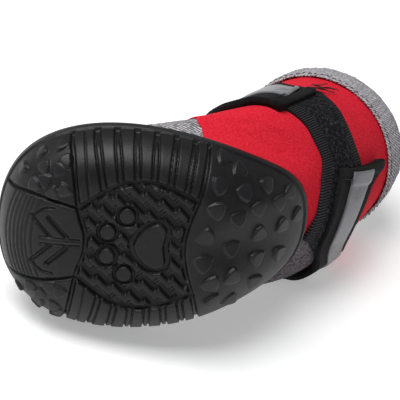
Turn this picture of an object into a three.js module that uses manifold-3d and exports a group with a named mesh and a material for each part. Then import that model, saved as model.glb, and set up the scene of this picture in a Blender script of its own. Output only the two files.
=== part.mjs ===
// Dog bootie lying on its right side: moulded rubber cup sole, knit and softshell upper, two hook straps.
// The shoe's own frame has +X at the toe, +Y at its left, +Z up from the tread. Lengths are millimetres.

import * as THREE from 'three';
import { mergeVertices } from 'three/addons/utils/BufferGeometryUtils.js';
import Module from 'manifold-3d';

const wasm = await Module();
wasm.setup();

// Main sizes of the last
const SOLE_LENGTH = 86.2;
const BALL_WIDTH = 58.2;
const TOE_RISE = 15.8;
const WAIST_RISE = 15.0;
const HEEL_RISE = 26.4;
const SHAFT_FRONT_HEIGHT = 101;
const SHAFT_BACK_HEIGHT = 77.2;
const COLLAR_WIDTH = 44.8;

// Walls, steps and clearances
const CLEARANCE = 0.35;
const SOLE_FLOOR = 4.0;
const SOLE_WALL = 2.2;
const RIM_BAND = 2.4;
const RIM_PROUD = 0.4;
const GROOVE_DEPTH = 1.1;
const GROOVE_WIDTH = 1.1;
const RIB_GAP = 1.9;
const NUB_PROUD = 0.8;
const NUB_REACH = 2.7;
const PAD_RING = 0.9;
const LUG_CHANNEL = 1.3;
const LUG_PITCH = 6.8;
const INSOLE_THICKNESS = 2.0;
const KNIT_WALL = 1.8;
const PANEL_STEP = 0.6;
const BINDING_WIDTH = 10;
const BINDING_THICKNESS = 0.9;
const BAND_THICKNESS = 1.2;
const STRAP_THICKNESS = 1.5;
const TAPE_THICKNESS = 0.4;

// How the bootie lies on its right side: the floor's direction leans to the toe and to the collar, and the
// slack shaft is flattened where it meets the floor, eased over a short way at the border of that patch
const FLOOR_TO_TOE = 0.187;
const FLOOR_TO_COLLAR = 0.30;
const FLATTEN_EASE = 1.5;

// Corners round each ring, rings up the sole's side, and how far a cutting body stands clear of the sole
const AROUND = 48;
const SIDE_STEPS = 5;
const PRISM_MARGIN = 4;
const HALF_LENGTH = SOLE_LENGTH / 2;
const HALF_WIDTH = BALL_WIDTH / 2;

// Sole stations at equal turns from the toe to the heel. width is a share of the half ball width,
// flat the share of the plan that is level, crown the roundness of the side.
const SOLE_STATIONS = [
  { width: 0.000, flat: 0.52, crown: 2.2 },
  { width: 0.519, flat: 0.55, crown: 2.2 },
  { width: 0.850, flat: 0.60, crown: 2.2 },
  { width: 0.999, flat: 0.62, crown: 2.2 },
  { width: 0.989, flat: 0.62, crown: 2.2 },
  { width: 0.853, flat: 0.58, crown: 2.0 },
  { width: 0.640, flat: 0.45, crown: 1.7 },
  { width: 0.390, flat: 0.33, crown: 1.5 },
  { width: 0.000, flat: 0.28, crown: 1.4 },
];

// Height of the rim at the same stations: blend of toe to waist in the front, waist to heel behind
const RIM_STATIONS = [
  { toe: 1.00, heel: 0.00 },
  { toe: 0.87, heel: 0.00 },
  { toe: 0.50, heel: 0.00 },
  { toe: 0.12, heel: 0.00 },
  { toe: 0.00, heel: 0.00 },
  { toe: 0.00, heel: 0.10 },
  { toe: 0.00, heel: 0.45 },
  { toe: 0.00, heel: 0.85 },
  { toe: 0.00, heel: 1.00 },
];

// Levels of the upper, from the sole's rim to the collar. front and back are shares of the half sole
// length, frontUp and backUp shares of the height from rim to collar, width a share of the half ball
// width, collar the share of the half collar width, round how far the section has gone from the sole's
// outline to a circle, sag how far it hangs to the right.
const UPPER_LEVELS = [
  { front: 0.777, frontUp: 0.055, back: -1.074, backUp: 0.091,
    width: 0.907, collar: 0.0, round: 0.08, sag: 0.010 },
  { front: 0.510, frontUp: 0.114, back: -1.160, backUp: 0.189,
    width: 0.945, collar: 0.0, round: 0.25, sag: 0.040 },
  { front: 0.186, frontUp: 0.190, back: -1.253, backUp: 0.287,
    width: 0.990, collar: 0.0, round: 0.55, sag: 0.065 },
  { front: -0.151, frontUp: 0.354, back: -1.357, backUp: 0.406,
    width: 0.800, collar: 0.25, round: 0.85, sag: 0.085 },
  { front: -0.360, frontUp: 0.577, back: -1.497, backUp: 0.593,
    width: 0.464, collar: 0.60, round: 1.00, sag: 0.089 },
  { front: -0.557, frontUp: 0.789, back: -1.633, backUp: 0.795,
    width: 0.172, collar: 0.89, round: 1.00, sag: 0.055 },
  { front: -0.770, frontUp: 1.000, back: -1.768, backUp: 1.000,
    width: 0.000, collar: 1.00, round: 1.00, sag: 0.000 },
];

// Places on the sole's inner wall, as shares of its climb from floor to rim
const INSOLE_CLIMB = 0.45;
const TUCK_CLIMB = 0.6;
const TUCK_MIDDLE = 0.8;
const TOP_LEVEL = UPPER_LEVELS.length;

// Edge of the softshell panel over the knit vamp. turn is in degrees from the toe, left positive.
const PANEL_SEAM = [
  { turn: -192, level: 0.45 },
  { turn: -168, level: 0.50 },
  { turn: -157, level: 1.20 },
  { turn: -145, level: 2.50 },
  { turn: -125, level: 3.55 },
  { turn: -60, level: 3.80 },
  { turn: 0, level: 3.70 },
  { turn: 50, level: 3.15 },
  { turn: 75, level: 2.50 },
  { turn: 94, level: 1.30 },
  { turn: 104, level: 0.55 },
  { turn: 120, level: 0.45 },
  { turn: 168, level: 0.45 },
  { turn: 192, level: 0.50 },
];

// Rings of the upper's outer skin, as shares of the way up the knit and up the panel, and half the step
// between them, in levels
const KNIT_SHARES = [0, 0.3, 0.6, 0.85, 1];
const PANEL_SHARES = [0, 0.08, 0.2, 0.32, 0.44, 0.56, 0.67, 0.78, 0.89, 1];
const SEAM_STEP = 0.06;

// Edges of the loop band round the back of the shaft and of both straps, in the same turns and levels
const LOOP_BAND_EDGES = [
  { turn: 84, low: 3.80, high: 5.45 },
  { turn: 100, low: 3.74, high: 5.40 },
  { turn: 121, low: 3.42, high: 5.06 },
  { turn: 134, low: 3.03, high: 4.75 },
  { turn: 148, low: 2.59, high: 4.55 },
  { turn: 160, low: 1.85, high: 4.52 },
  { turn: 172, low: 1.22, high: 4.30 },
  { turn: 181, low: 1.00, high: 4.05 },
  { turn: 194, low: 0.66, high: 3.75 },
  { turn: 212, low: 0.90, high: 3.60 },
];
const LEFT_STRAP_EDGES = [
  { turn: 3, low: 4.15, high: 5.45 },
  { turn: 40, low: 3.95, high: 5.50 },
  { turn: 62, low: 3.65, high: 5.55 },
  { turn: 70, low: 3.62, high: 5.50 },
  { turn: 78, low: 3.80, high: 5.32 },
  { turn: 86, low: 3.75, high: 5.14 },
  { turn: 94, low: 3.64, high: 5.05 },
  { turn: 101, low: 3.50, high: 5.04 },
];
const RIGHT_STRAP_EDGES = [
  { turn: -204, low: 3.15, high: 5.20 },
  { turn: -196, low: 2.70, high: 5.25 },
  { turn: -184, low: 2.20, high: 4.75 },
  { turn: -169, low: 1.95, high: 4.28 },
  { turn: -158, low: 2.10, high: 4.12 },
  { turn: -151, low: 2.50, high: 4.20 },
  { turn: -140, low: 3.35, high: 4.65 },
  { turn: -128, low: 3.95, high: 5.00 },
  { turn: -110, low: 4.05, high: 5.25 },
  { turn: -90, low: 4.10, high: 5.35 },
  { turn: -45, low: 4.15, high: 5.42 },
  { turn: -3, low: 4.15, high: 5.45 },
];

// How far the end hems of the right strap and of the band slant, in degrees of turn
const RIGHT_HEM_SLANT = 8;
const BAND_HEM_SLANT = 16;

// Ends of both tapes, and their edges as shares of the strap's width
const LEFT_TAPE_ENDS = { from: 20, to: 96 };
const RIGHT_TAPE_ENDS = { from: -202, to: -20 };
const TAPE_LOW = 0.34;
const TAPE_HIGH = 0.84;

// Turn over which a strap climbs onto the loop band
const RISE_TURN = 22;

// Tread lines in plan, as shares of the half length and half ball width, for the left half
const TOE_BAR = [
  { along: 0.437, across: 0.00 },
  { along: 0.445, across: 0.12 },
  { along: 0.490, across: 0.345 },
  { along: 0.555, across: 0.93 },
  { along: 0.600, across: 1.15 },
];
const TOE_PANEL = [
  { along: 0.490, across: 0.345 },
  { along: 0.600, across: 0.385 },
  { along: 0.720, across: 0.420 },
  { along: 0.850, across: 0.435 },
  { along: 1.050, across: 0.410 },
];
const OVAL_EDGE = [
  { along: 0.490, across: 0.345 },
  { along: 0.360, across: 0.490 },
  { along: 0.265, across: 0.580 },
  { along: 0.180, across: 0.622 },
  { along: 0.060, across: 0.635 },
  { along: -0.070, across: 0.590 },
  { along: -0.250, across: 0.474 },
];
const HEEL_BAR = [
  { along: -0.177, across: 0.00 },
  { along: -0.180, across: 0.09 },
  { along: -0.205, across: 0.27 },
  { along: -0.250, across: 0.474 },
  { along: -0.278, across: 0.62 },
  { along: -0.310, across: 0.90 },
  { along: -0.335, across: 1.15 },
];
const MAIN_PAD = [
  { along: 0.151, across: 0.00 },
  { along: 0.114, across: 0.125 },
  { along: 0.040, across: 0.222 },
  { along: -0.028, across: 0.238 },
  { along: -0.076, across: 0.170 },
  { along: -0.062, across: 0.00 },
];
const TOE_PADS = [
  { along: 0.302, across: 0.122, reach: 1.9 },
  { along: 0.186, across: 0.294, reach: 2.1 },
];

// Ribs of the waist: recess centres at the oval edge and at the rim, first one and step, as shares
const RIB_COUNT = 6;
const RIB_FOOT = { along: 0.420, step: -0.101 };
const RIB_HEAD = { along: 0.505, step: -0.132 };

// Raised three-sided nubs of heel and toe corners. twist is in degrees.
const HEEL_NUBS = [
  { along: -0.385, across: 0.62, twist: 20 },
  { along: -0.362, across: 0.41, twist: -25 },
  { along: -0.306, across: 0.13, twist: 10 },
  { along: -0.313, across: -0.11, twist: 70 },
  { along: -0.343, across: -0.34, twist: 30 },
  { along: -0.378, across: -0.60, twist: 0 },
  { along: -0.530, across: 0.55, twist: 60 },
  { along: -0.501, across: 0.32, twist: 0 },
  { along: -0.487, across: 0.00, twist: 80 },
  { along: -0.494, across: -0.26, twist: 15 },
  { along: -0.525, across: -0.53, twist: 50 },
  { along: -0.640, across: 0.40, twist: 25 },
  { along: -0.638, across: 0.11, twist: 45 },
  { along: -0.654, across: -0.18, twist: 5 },
  { along: -0.650, across: -0.45, twist: 85 },
  { along: -0.763, across: 0.36, twist: 10 },
  { along: -0.803, across: 0.08, twist: 70 },
  { along: -0.795, across: -0.24, twist: 35 },
];
const TOE_NUBS = [
  { along: 0.620, across: 0.76, twist: 30 },
  { along: 0.594, across: 0.53, twist: 0 },
  { along: 0.708, across: 0.595, twist: 55 },
  { along: 0.745, across: 0.74, twist: 80 },
  { along: 0.833, across: 0.58, twist: 15 },
];

const COLORS = {
  rubber: 0x2f2e31, foam: 0x5a5a5e, panel: 0xc02a3a, binding: 0x8f8b90, webbing: 0x1d1d1f, tape: 0x8d8d90,
};

const degrees = THREE.MathUtils.degToRad;

// Even closed curve through equally spaced stations, as a cosine series
function evenCurve(values) {
  const last = values.length - 1;
  const terms = values.map((_, order) => {
    const sum = values.reduce((total, value, k) => {
      const weight = k === 0 || k === last ? 0.5 : 1;
      return total + weight * value * Math.cos((order * k * Math.PI) / last);
    }, 0);
    return (sum * (order === 0 || order === last ? 1 : 2)) / last;
  });
  return (turn) => terms.reduce((total, term, order) => total + term * Math.cos(order * turn), 0);
}

// Odd closed curve through the same stations, as a sine series
function oddCurve(values) {
  const last = values.length - 1;
  const terms = values.map((_, order) => {
    const sum = values.reduce((total, value, k) => {
      return total + value * Math.sin((order * k * Math.PI) / last);
    }, 0);
    return (2 * sum) / last;
  });
  return (turn) => terms.reduce((total, term, order) => total + term * Math.sin(order * turn), 0);
}

// Smooth curve through the rows of a table, read at a value of its input column
function tableCurve(rows, input, output) {
  const slope = (i) => {
    const before = rows[Math.max(i - 1, 0)];
    const after = rows[Math.min(i + 1, rows.length - 1)];
    return (after[output] - before[output]) / (after[input] - before[input]);
  };
  return (value) => {
    const last = rows.length - 2;
    const index = rows.findIndex((row, i) => i === last || value < rows[i + 1][input]);
    const from = rows[index];
    const to = rows[index + 1];
    const span = to[input] - from[input];
    const share = THREE.MathUtils.clamp((value - from[input]) / span, 0, 1);
    const rest = 1 - share;
    const ends = from[output] * (1 + 2 * share) * rest * rest + to[output] * (3 - 2 * share) * share * share;
    return ends + span * share * rest * (slope(index) * rest - slope(index + 1) * share);
  };
}

const turns = Array.from({ length: AROUND }, (_, i) => (i * 2 * Math.PI) / AROUND);
const planPoint = ({ along, across }) => new THREE.Vector2(HALF_LENGTH * along, HALF_WIDTH * across);
const mirrored = (rows) => rows.map((row) => ({ ...row, across: -row.across }));
const smoothLine = (rows) => new THREE.SplineCurve(rows.map(planPoint)).getPoints(rows.length + 1);
const ovalAcross = tableCurve([...OVAL_EDGE].reverse(), 'along', 'across');
const widthShare = oddCurve(SOLE_STATIONS.map((row) => row.width));
const flatShare = evenCurve(SOLE_STATIONS.map((row) => row.flat));
const crownAt = evenCurve(SOLE_STATIONS.map((row) => row.crown));
const toeShare = evenCurve(RIM_STATIONS.map((row) => row.toe));
const heelShare = evenCurve(RIM_STATIONS.map((row) => row.heel));
const rimHeight = (turn) => WAIST_RISE + (TOE_RISE - WAIST_RISE) * toeShare(turn)
  + (HEEL_RISE - WAIST_RISE) * heelShare(turn);

// Point on the sole's rounded side, inset from its outer skin and lifted from the tread plane
function solePoint(turn, climb, inset, lift) {
  const edge = new THREE.Vector2(HALF_LENGTH * Math.cos(turn), HALF_WIDTH * widthShare(turn));
  const angle = (climb * Math.PI) / 2;
  const power = 2 / crownAt(turn);
  const reach = flatShare(turn) + (1 - flatShare(turn)) * Math.sin(angle) ** power;
  const height = 1 - Math.max(Math.cos(angle), 0) ** power;
  edge.multiplyScalar(((edge.length() - inset) / edge.length()) * reach);
  return new THREE.Vector3(edge.x, edge.y, lift + (rimHeight(turn) - lift) * height);
}

// Climb at which the sole's side is a given depth below its rim
function climbBelowRim(turn, depth) {
  const share = depth / rimHeight(turn);
  return (Math.acos(share ** (crownAt(turn) / 2)) * 2) / Math.PI;
}

// Plain point of a level of the upper
function levelPoint(row, turn) {
  const collarX = (row.front + row.back) / 2;
  const halfX = (row.front - row.back) / 2;
  const frontZ = rimHeight(0) + (SHAFT_FRONT_HEIGHT - rimHeight(0)) * row.frontUp;
  const backZ = rimHeight(Math.PI) + (SHAFT_BACK_HEIGHT - rimHeight(Math.PI)) * row.backUp;
  const halfWidth = HALF_WIDTH * row.width + (COLLAR_WIDTH / 2) * row.collar;
  const side = (1 - row.round) * widthShare(turn) + row.round * Math.sin(turn);
  return new THREE.Vector3(
    HALF_LENGTH * (collarX + halfX * Math.cos(turn)),
    halfWidth * side - HALF_WIDTH * row.sag,
    (frontZ + backZ) / 2 + ((frontZ - backZ) / 2) * Math.cos(turn),
  );
}

const tuckInset = SOLE_WALL + CLEARANCE;
const tuckLift = SOLE_FLOOR + CLEARANCE;
const TUCKS = [TUCK_CLIMB, TUCK_MIDDLE, 1];

// Line of the upper's outer skin from its tucked edge to the collar, at one turn
function meridian(turn) {
  const tucked = TUCKS.map((climb) => solePoint(turn, climb, tuckInset, tuckLift));
  const levels = UPPER_LEVELS.map((row) => levelPoint(row, turn));
  return new THREE.CatmullRomCurve3([...tucked, ...levels], false, 'catmullrom', 0.5);
}

const outsoleGeometry = makeOutsole();
const floorDown = new THREE.Vector3(FLOOR_TO_TOE, -1, FLOOR_TO_COLLAR).normalize();
const floorReach = soleReach();

// How far the sole reaches towards the floor
function soleReach() {
  const { position } = outsoleGeometry.attributes;
  const corner = new THREE.Vector3();
  let reach = -Infinity;
  for (let i = 0; i < position.count; i += 1) {
    reach = Math.max(reach, corner.fromBufferAttribute(position, i).dot(floorDown));
  }
  return reach;
}

// The slack shaft lies flat on the floor: a point is kept off it by the layers that lie beneath the point
function offFloor(point, layers) {
  const past = point.dot(floorDown) - (floorReach - layers);
  const eased = Math.max(past + FLATTEN_EASE, 0) ** 2 / (4 * FLATTEN_EASE);
  return point.addScaledVector(floorDown, past > FLATTEN_EASE ? -past : -eased);
}

// Layers of the strap and its tape, from the strap's inner face outwards
const strapLayers = TAPE_THICKNESS + CLEARANCE + STRAP_THICKNESS;

// Level 0 is the sole's rim, negative levels lie in the cup and TOP_LEVEL is the collar's edge
function skinPoint(turn, level) {
  const first = 1 - TUCKS.length;
  const layers = strapLayers + strapLift(signedDegrees(turn));
  return offFloor(meridian(turn).getPoint((level - first) / (TOP_LEVEL - first)), layers);
}

function skinNormal(turn, level) {
  const nudge = 0.02;
  const low = Math.min(level, TOP_LEVEL - nudge);
  const around = skinPoint(turn + nudge, low).sub(skinPoint(turn - nudge, low));
  const upward = skinPoint(turn, low + nudge).sub(skinPoint(turn, low - nudge));
  return around.cross(upward).normalize();
}

function offSkin(turn, level, distance) {
  return skinPoint(turn, level).addScaledVector(skinNormal(turn, level), distance);
}

// Level that lies a given length above or below another along the skin
function walkLevel(turn, level, length) {
  const nudge = 0.05;
  const top = Math.min(level, TOP_LEVEL - nudge);
  const pace = skinPoint(turn, top + nudge).distanceTo(skinPoint(turn, top)) / nudge;
  return level + length / pace;
}

const seamLevel = tableCurve(PANEL_SEAM, 'turn', 'level');

// Degrees of a turn, counted from the toe to both sides
function signedDegrees(turn) {
  const value = THREE.MathUtils.radToDeg(turn);
  return value > 180 ? value - 360 : value;
}

// Closed body from rings of points. Rings either close on themselves as a tube's wall or end in a fan.
function ringBody(rings, isTube) {
  const count = rings[0].length;
  const points = rings.flat();
  const faces = [];
  const steps = isTube ? rings.length : rings.length - 1;
  for (let r = 0; r < steps; r += 1) {
    const low = r * count;
    const high = ((r + 1) % rings.length) * count;
    for (let i = 0; i < count; i += 1) {
      const j = (i + 1) % count;
      faces.push(low + i, low + j, high + j, low + i, high + j, high + i);
    }
  }
  if (!isTube) {
    const top = (rings.length - 1) * count;
    const centre = (ring) => ring.reduce((sum, p) => sum.add(p), new THREE.Vector3()).divideScalar(count);
    points.push(centre(rings[0]), centre(rings[rings.length - 1]));
    for (let i = 0; i < count; i += 1) {
      const j = (i + 1) % count;
      faces.push(points.length - 2, j, i, points.length - 1, top + i, top + j);
    }
  }
  return indexedGeometry(points, faces);
}

function indexedGeometry(points, faces) {
  const geometry = new THREE.BufferGeometry().setFromPoints(points);
  geometry.setIndex(faces);
  return geometry;
}

function toSolid(geometry) {
  const bare = geometry.clone();
  bare.deleteAttribute('normal');
  bare.deleteAttribute('uv');
  const merged = mergeVertices(bare, 1e-4);
  const vertProperties = new Float32Array(merged.attributes.position.array);
  const triVerts = new Uint32Array(merged.index.array);
  return new wasm.Manifold(new wasm.Mesh({ numProp: 3, vertProperties, triVerts }));
}

function toGeometry(solid) {
  const mesh = solid.getMesh();
  const geometry = new THREE.BufferGeometry();
  geometry.setAttribute('position', new THREE.BufferAttribute(new Float32Array(mesh.vertProperties), 3));
  geometry.setIndex(new THREE.BufferAttribute(new Uint32Array(mesh.triVerts), 1));
  return geometry;
}

// Upright prism over an outline in plan, through the whole sole
function prism(outline) {
  const shape = new THREE.Shape(outline);
  const depth = HEEL_RISE + 2 * PRISM_MARGIN;
  const geometry = new THREE.ExtrudeGeometry(shape, { depth, bevelEnabled: false });
  geometry.translate(0, 0, -PRISM_MARGIN);
  return toSolid(geometry);
}

// Prism over a line of constant width
function channel(line, width) {
  const sides = line.map((point, i) => {
    const before = line[Math.max(i - 1, 0)];
    const after = line[Math.min(i + 1, line.length - 1)];
    const ahead = after.clone().sub(before).setLength(width / 2);
    const across = ahead.rotateAround(new THREE.Vector2(), Math.PI / 2);
    return [point.clone().sub(across), point.clone().add(across)];
  });
  const outline = [...sides.map((pair) => pair[0]), ...sides.map((pair) => pair[1]).reverse()];
  return prism(outline);
}

function discOutline(centre, radius, sides) {
  return Array.from({ length: sides }, (_, i) => {
    const angle = (i * 2 * Math.PI) / sides;
    return new THREE.Vector2(centre.x + radius * Math.cos(angle), centre.y + radius * Math.sin(angle));
  });
}

// The sole's outer form as a filled body, inset or proud, which flares past the rim band where asked
function soleForm(inset, flaresAtBand) {
  const rings = [];
  for (let k = 0; k <= SIDE_STEPS; k += 1) {
    rings.push(turns.map((turn) => {
      const climb = (climbBelowRim(turn, RIM_BAND) * k) / SIDE_STEPS;
      return solePoint(turn, climb, inset, inset);
    }));
  }
  const spread = flaresAtBand ? -PRISM_MARGIN : inset;
  rings.push(turns.map((turn) => solePoint(turn, 1, spread, 0).setZ(rimHeight(turn) - RIM_BAND)));
  rings.push(turns.map((turn) => solePoint(turn, 1, spread, 0).setZ(HEEL_RISE + PRISM_MARGIN)));
  return toSolid(ringBody(rings, false));
}

function soleCup() {
  const rings = [];
  for (let k = 0; k <= SIDE_STEPS; k += 1) {
    rings.push(turns.map((turn) => solePoint(turn, (climbBelowRim(turn, RIM_BAND) * k) / SIDE_STEPS, 0, 0)));
  }
  const rimCorner = RIM_PROUD;
  const bandFoot = RIM_BAND - rimCorner;
  rings.push(turns.map((turn) => solePoint(turn, 1, -RIM_PROUD, 0).setZ(rimHeight(turn) - bandFoot)));
  rings.push(turns.map((turn) => solePoint(turn, 1, -RIM_PROUD, 0).setZ(rimHeight(turn) - rimCorner)));
  rings.push(turns.map((turn) => solePoint(turn, 1, rimCorner, 0)));
  for (const climb of [1, TUCK_MIDDLE, TUCK_CLIMB, INSOLE_CLIMB, INSOLE_CLIMB / 2, 0]) {
    rings.push(turns.map((turn) => solePoint(turn, climb, SOLE_WALL, SOLE_FLOOR)));
  }
  return toSolid(ringBody(rings, false));
}

// Z-shaped lugs of the oval: stepped channels that run across it on the slant
function lugChannels() {
  const slant = Math.PI / 4;
  const forward = new THREE.Vector2(-Math.cos(slant), -Math.sin(slant));
  const sideways = new THREE.Vector2(Math.sin(slant), -Math.cos(slant));
  const channels = [];
  for (let lane = -3; lane <= 3; lane += 1) {
    const line = [];
    for (let step = -3; step <= 3; step += 1) {
      const start = sideways.clone().multiplyScalar(lane * LUG_PITCH - step * LUG_PITCH * 0.3);
      line.push(start.clone().addScaledVector(forward, (step - 0.35) * LUG_PITCH));
      line.push(start.clone().addScaledVector(forward, (step + 0.35) * LUG_PITCH));
    }
    channels.push(channel(line, LUG_CHANNEL));
  }
  return joinAll(channels);
}

function joinAll(solids) {
  return solids.reduce((sum, solid) => sum.add(solid));
}

function bothSides(rows) {
  return [smoothLine(rows), smoothLine(mirrored(rows))];
}

// Grooves, rib recesses and lug channels, as prisms through the tread
function treadCuts() {
  const lines = [TOE_BAR, TOE_PANEL, OVAL_EDGE, HEEL_BAR].flatMap(bothSides);
  const cuts = lines.map((line) => channel(line, GROOVE_WIDTH));
  for (let i = 0; i < RIB_COUNT; i += 1) {
    const foot = { along: RIB_FOOT.along + i * RIB_FOOT.step };
    foot.across = ovalAcross(foot.along);
    const head = { along: RIB_HEAD.along + i * RIB_HEAD.step, across: 1.15 };
    for (const rib of [[foot, head], mirrored([foot, head])]) {
      cuts.push(channel(rib.map(planPoint), RIB_GAP));
    }
  }
  const oval = prism([...smoothLine(OVAL_EDGE), ...smoothLine(mirrored(OVAL_EDGE)).reverse()]);
  const pads = [];
  const rings = [];
  for (const pad of [...TOE_PADS, ...mirrored(TOE_PADS)]) {
    const inner = prism(discOutline(planPoint(pad), pad.reach, 12));
    const outer = prism(discOutline(planPoint(pad), pad.reach + PAD_RING, 12));
    const guard = prism(discOutline(planPoint(pad), pad.reach + 2 * PAD_RING, 12));
    rings.push(outer.subtract(inner));
    pads.push(guard);
  }
  const half = smoothLine(MAIN_PAD);
  const heart = [...half, ...smoothLine(mirrored(MAIN_PAD)).slice(1, -1).reverse()];
  const middle = planPoint({ along: 0.03, across: 0 });
  const grown = (margin) => heart.map((p) => p.clone().sub(middle))
    .map((p) => p.setLength(p.length() + margin).add(middle));
  rings.push(prism(grown(PAD_RING)).subtract(prism(heart)));
  pads.push(prism(grown(2 * PAD_RING)));
  const lugs = lugChannels().intersect(oval).subtract(joinAll(pads));
  return joinAll([...cuts, ...rings, lugs]);
}

function nubPrisms() {
  const rows = [...HEEL_NUBS, ...TOE_NUBS, ...mirrored(TOE_NUBS)];
  return joinAll(rows.map((row) => {
    const centre = planPoint(row);
    const corners = discOutline(centre, NUB_REACH, 3);
    return prism(corners.map((corner) => corner.rotateAround(centre, degrees(row.twist))));
  }));
}

function makeOutsole() {
  const grooved = soleCup().subtract(treadCuts().subtract(soleForm(GROOVE_DEPTH, true)));
  const skin = soleForm(-NUB_PROUD, false).subtract(soleForm(SOLE_WALL / 2, true));
  return toGeometry(grooved.add(nubPrisms().intersect(skin)));
}

function makeInsole() {
  const climbs = [0, INSOLE_CLIMB / 2, INSOLE_CLIMB];
  const under = climbs.map((climb) => turns.map((turn) => solePoint(turn, climb, tuckInset, tuckLift)));
  const topInset = tuckInset + INSOLE_THICKNESS / 2;
  const topLift = tuckLift + INSOLE_THICKNESS;
  const over = climbs.map((climb) => turns.map((turn) => solePoint(turn, climb, topInset, topLift)));
  return ringBody([...under, ...over.reverse()], false);
}

// The upper's wall: knit below the seam, and softshell above it which stands proud by the panel's step
function makeUpper() {
  const topEdge = (turn) => walkLevel(turn, TOP_LEVEL, -(BINDING_THICKNESS + CLEARANCE));
  const outer = TUCKS.slice(0, -1).map((climb) => {
    return turns.map((turn) => solePoint(turn, climb, tuckInset, tuckLift));
  });
  for (const share of KNIT_SHARES) {
    const sunk = share > 0 ? -PANEL_STEP : 0;
    outer.push(turns.map((turn) => {
      return offSkin(turn, share * (seamLevel(signedDegrees(turn)) - SEAM_STEP), sunk);
    }));
  }
  for (const share of PANEL_SHARES) {
    outer.push(turns.map((turn) => {
      const start = seamLevel(signedDegrees(turn)) + SEAM_STEP;
      return offSkin(turn, start + share * (topEdge(turn) - start), 0);
    }));
  }
  const inner = [];
  for (let level = TOP_LEVEL; level >= 1; level -= 1) {
    inner.push(turns.map((turn) => offSkin(turn, Math.min(level, topEdge(turn)), -KNIT_WALL - PANEL_STEP)));
  }
  const inset = tuckInset + KNIT_WALL;
  const lift = tuckLift + KNIT_WALL;
  inner.push(...TUCKS.toReversed().map((climb) => turns.map((turn) => solePoint(turn, climb, inset, lift))));
  return ringBody([...outer, ...inner], true);
}

// U-shaped knit binding over the collar's edge
function makeBinding() {
  const wall = KNIT_WALL + PANEL_STEP;
  const profile = [
    { down: 1, out: CLEARANCE },
    { down: 1, out: CLEARANCE + BINDING_THICKNESS },
    { down: 0.08, out: CLEARANCE + BINDING_THICKNESS },
    { down: 0, out: -0.2 * wall },
    { down: 0, out: -0.8 * wall },
    { down: 0.08, out: -wall - CLEARANCE - BINDING_THICKNESS },
    { down: 1, out: -wall - CLEARANCE - BINDING_THICKNESS },
    { down: 1, out: -wall - CLEARANCE },
  ];
  const inside = [{ out: -wall - CLEARANCE }, { out: CLEARANCE }];
  const rings = profile.map(({ down, out }) => turns.map((turn) => {
    return offSkin(turn, walkLevel(turn, TOP_LEVEL, -down * BINDING_WIDTH), out);
  }));
  for (const { out } of inside) {
    rings.push(turns.map((turn) => offSkin(turn, walkLevel(turn, TOP_LEVEL, -BINDING_THICKNESS), out)));
  }
  return ringBody(rings, true);
}

// Strip that lies over the upper between two edges: sections across it, closed at both ends
function surfaceStrip({ edges, from, to, slantFrom = 0, slantTo = 0, low = 0, high = 1, lift, thickness }) {
  const lowEdge = tableCurve(edges, 'turn', 'low');
  const highEdge = tableCurve(edges, 'turn', 'high');
  const pace = 360 / AROUND;
  const length = Math.max(Math.ceil((to - from) / pace), 2);
  const columns = [0, 1 / 3, 2 / 3, 1].map((share) => low + (high - low) * share);
  const points = [];
  for (let i = 0; i <= length; i += 1) {
    const place = (share, side) => {
      const slant = slantFrom * (1 - i / length) * share - slantTo * (i / length) * (1 - share);
      const turn = from + ((to - from) * i) / length + slant;
      const level = lowEdge(turn) * (1 - share) + highEdge(turn) * share;
      return offSkin(degrees(turn), level, lift(turn) + side * thickness);
    };
    const outer = columns.map((share) => place(share, 1));
    points.push([...outer, ...columns.toReversed().map((share) => place(share, 0))]);
  }
  return sectionBody(points);
}

// Closed body from like outlines in a row, each with its outer half first and its inner half after
function sectionBody(sections) {
  const count = sections[0].length;
  const faces = [];
  for (let s = 0; s + 1 < sections.length; s += 1) {
    for (let i = 0; i < count; i += 1) {
      const j = (i + 1) % count;
      const near = s * count;
      const far = near + count;
      faces.push(near + i, far + i, far + j, near + i, far + j, near + j);
    }
  }
  const last = (sections.length - 1) * count;
  for (let i = 0; i + 1 < count / 2; i += 1) {
    const opposite = count - 1 - i;
    faces.push(i, i + 1, opposite - 1, i, opposite - 1, opposite);
    faces.push(last + i, last + opposite - 1, last + i + 1, last + i, last + opposite, last + opposite - 1);
  }
  return indexedGeometry(sections.flat(), faces);
}

function endsOf(edges) {
  return { from: edges[0].turn, to: edges[edges.length - 1].turn };
}

const { from: bandFrom, to: bandTo } = endsOf(LOOP_BAND_EDGES);
const overBand = CLEARANCE + BAND_THICKNESS + CLEARANCE;

// Height of a strap over the skin: close to the shaft in front, over the loop band behind
function strapLift(turn) {
  const past = turn < 0 ? bandTo - 360 - turn : turn - bandFrom;
  const share = THREE.MathUtils.smoothstep(past, -RISE_TURN, -RISE_TURN / 4);
  return CLEARANCE + (overBand - CLEARANCE) * share;
}

const makeLoopBand = () => surfaceStrip({
  edges: LOOP_BAND_EDGES, from: bandFrom, to: bandTo, slantTo: BAND_HEM_SLANT, lift: () => CLEARANCE,
  thickness: BAND_THICKNESS,
});
const makeLeftStrap = () => surfaceStrip({
  edges: LEFT_STRAP_EDGES, ...endsOf(LEFT_STRAP_EDGES), lift: strapLift, thickness: STRAP_THICKNESS,
});
const makeRightStrap = () => surfaceStrip({
  edges: RIGHT_STRAP_EDGES, ...endsOf(RIGHT_STRAP_EDGES), slantFrom: RIGHT_HEM_SLANT, lift: strapLift,
  thickness: STRAP_THICKNESS,
});
const tapeLift = (turn) => strapLift(turn) + STRAP_THICKNESS + CLEARANCE;
const makeLeftTape = () => surfaceStrip({
  edges: LEFT_STRAP_EDGES, ...LEFT_TAPE_ENDS, low: TAPE_LOW, high: TAPE_HIGH, lift: tapeLift,
  thickness: TAPE_THICKNESS,
});
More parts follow.
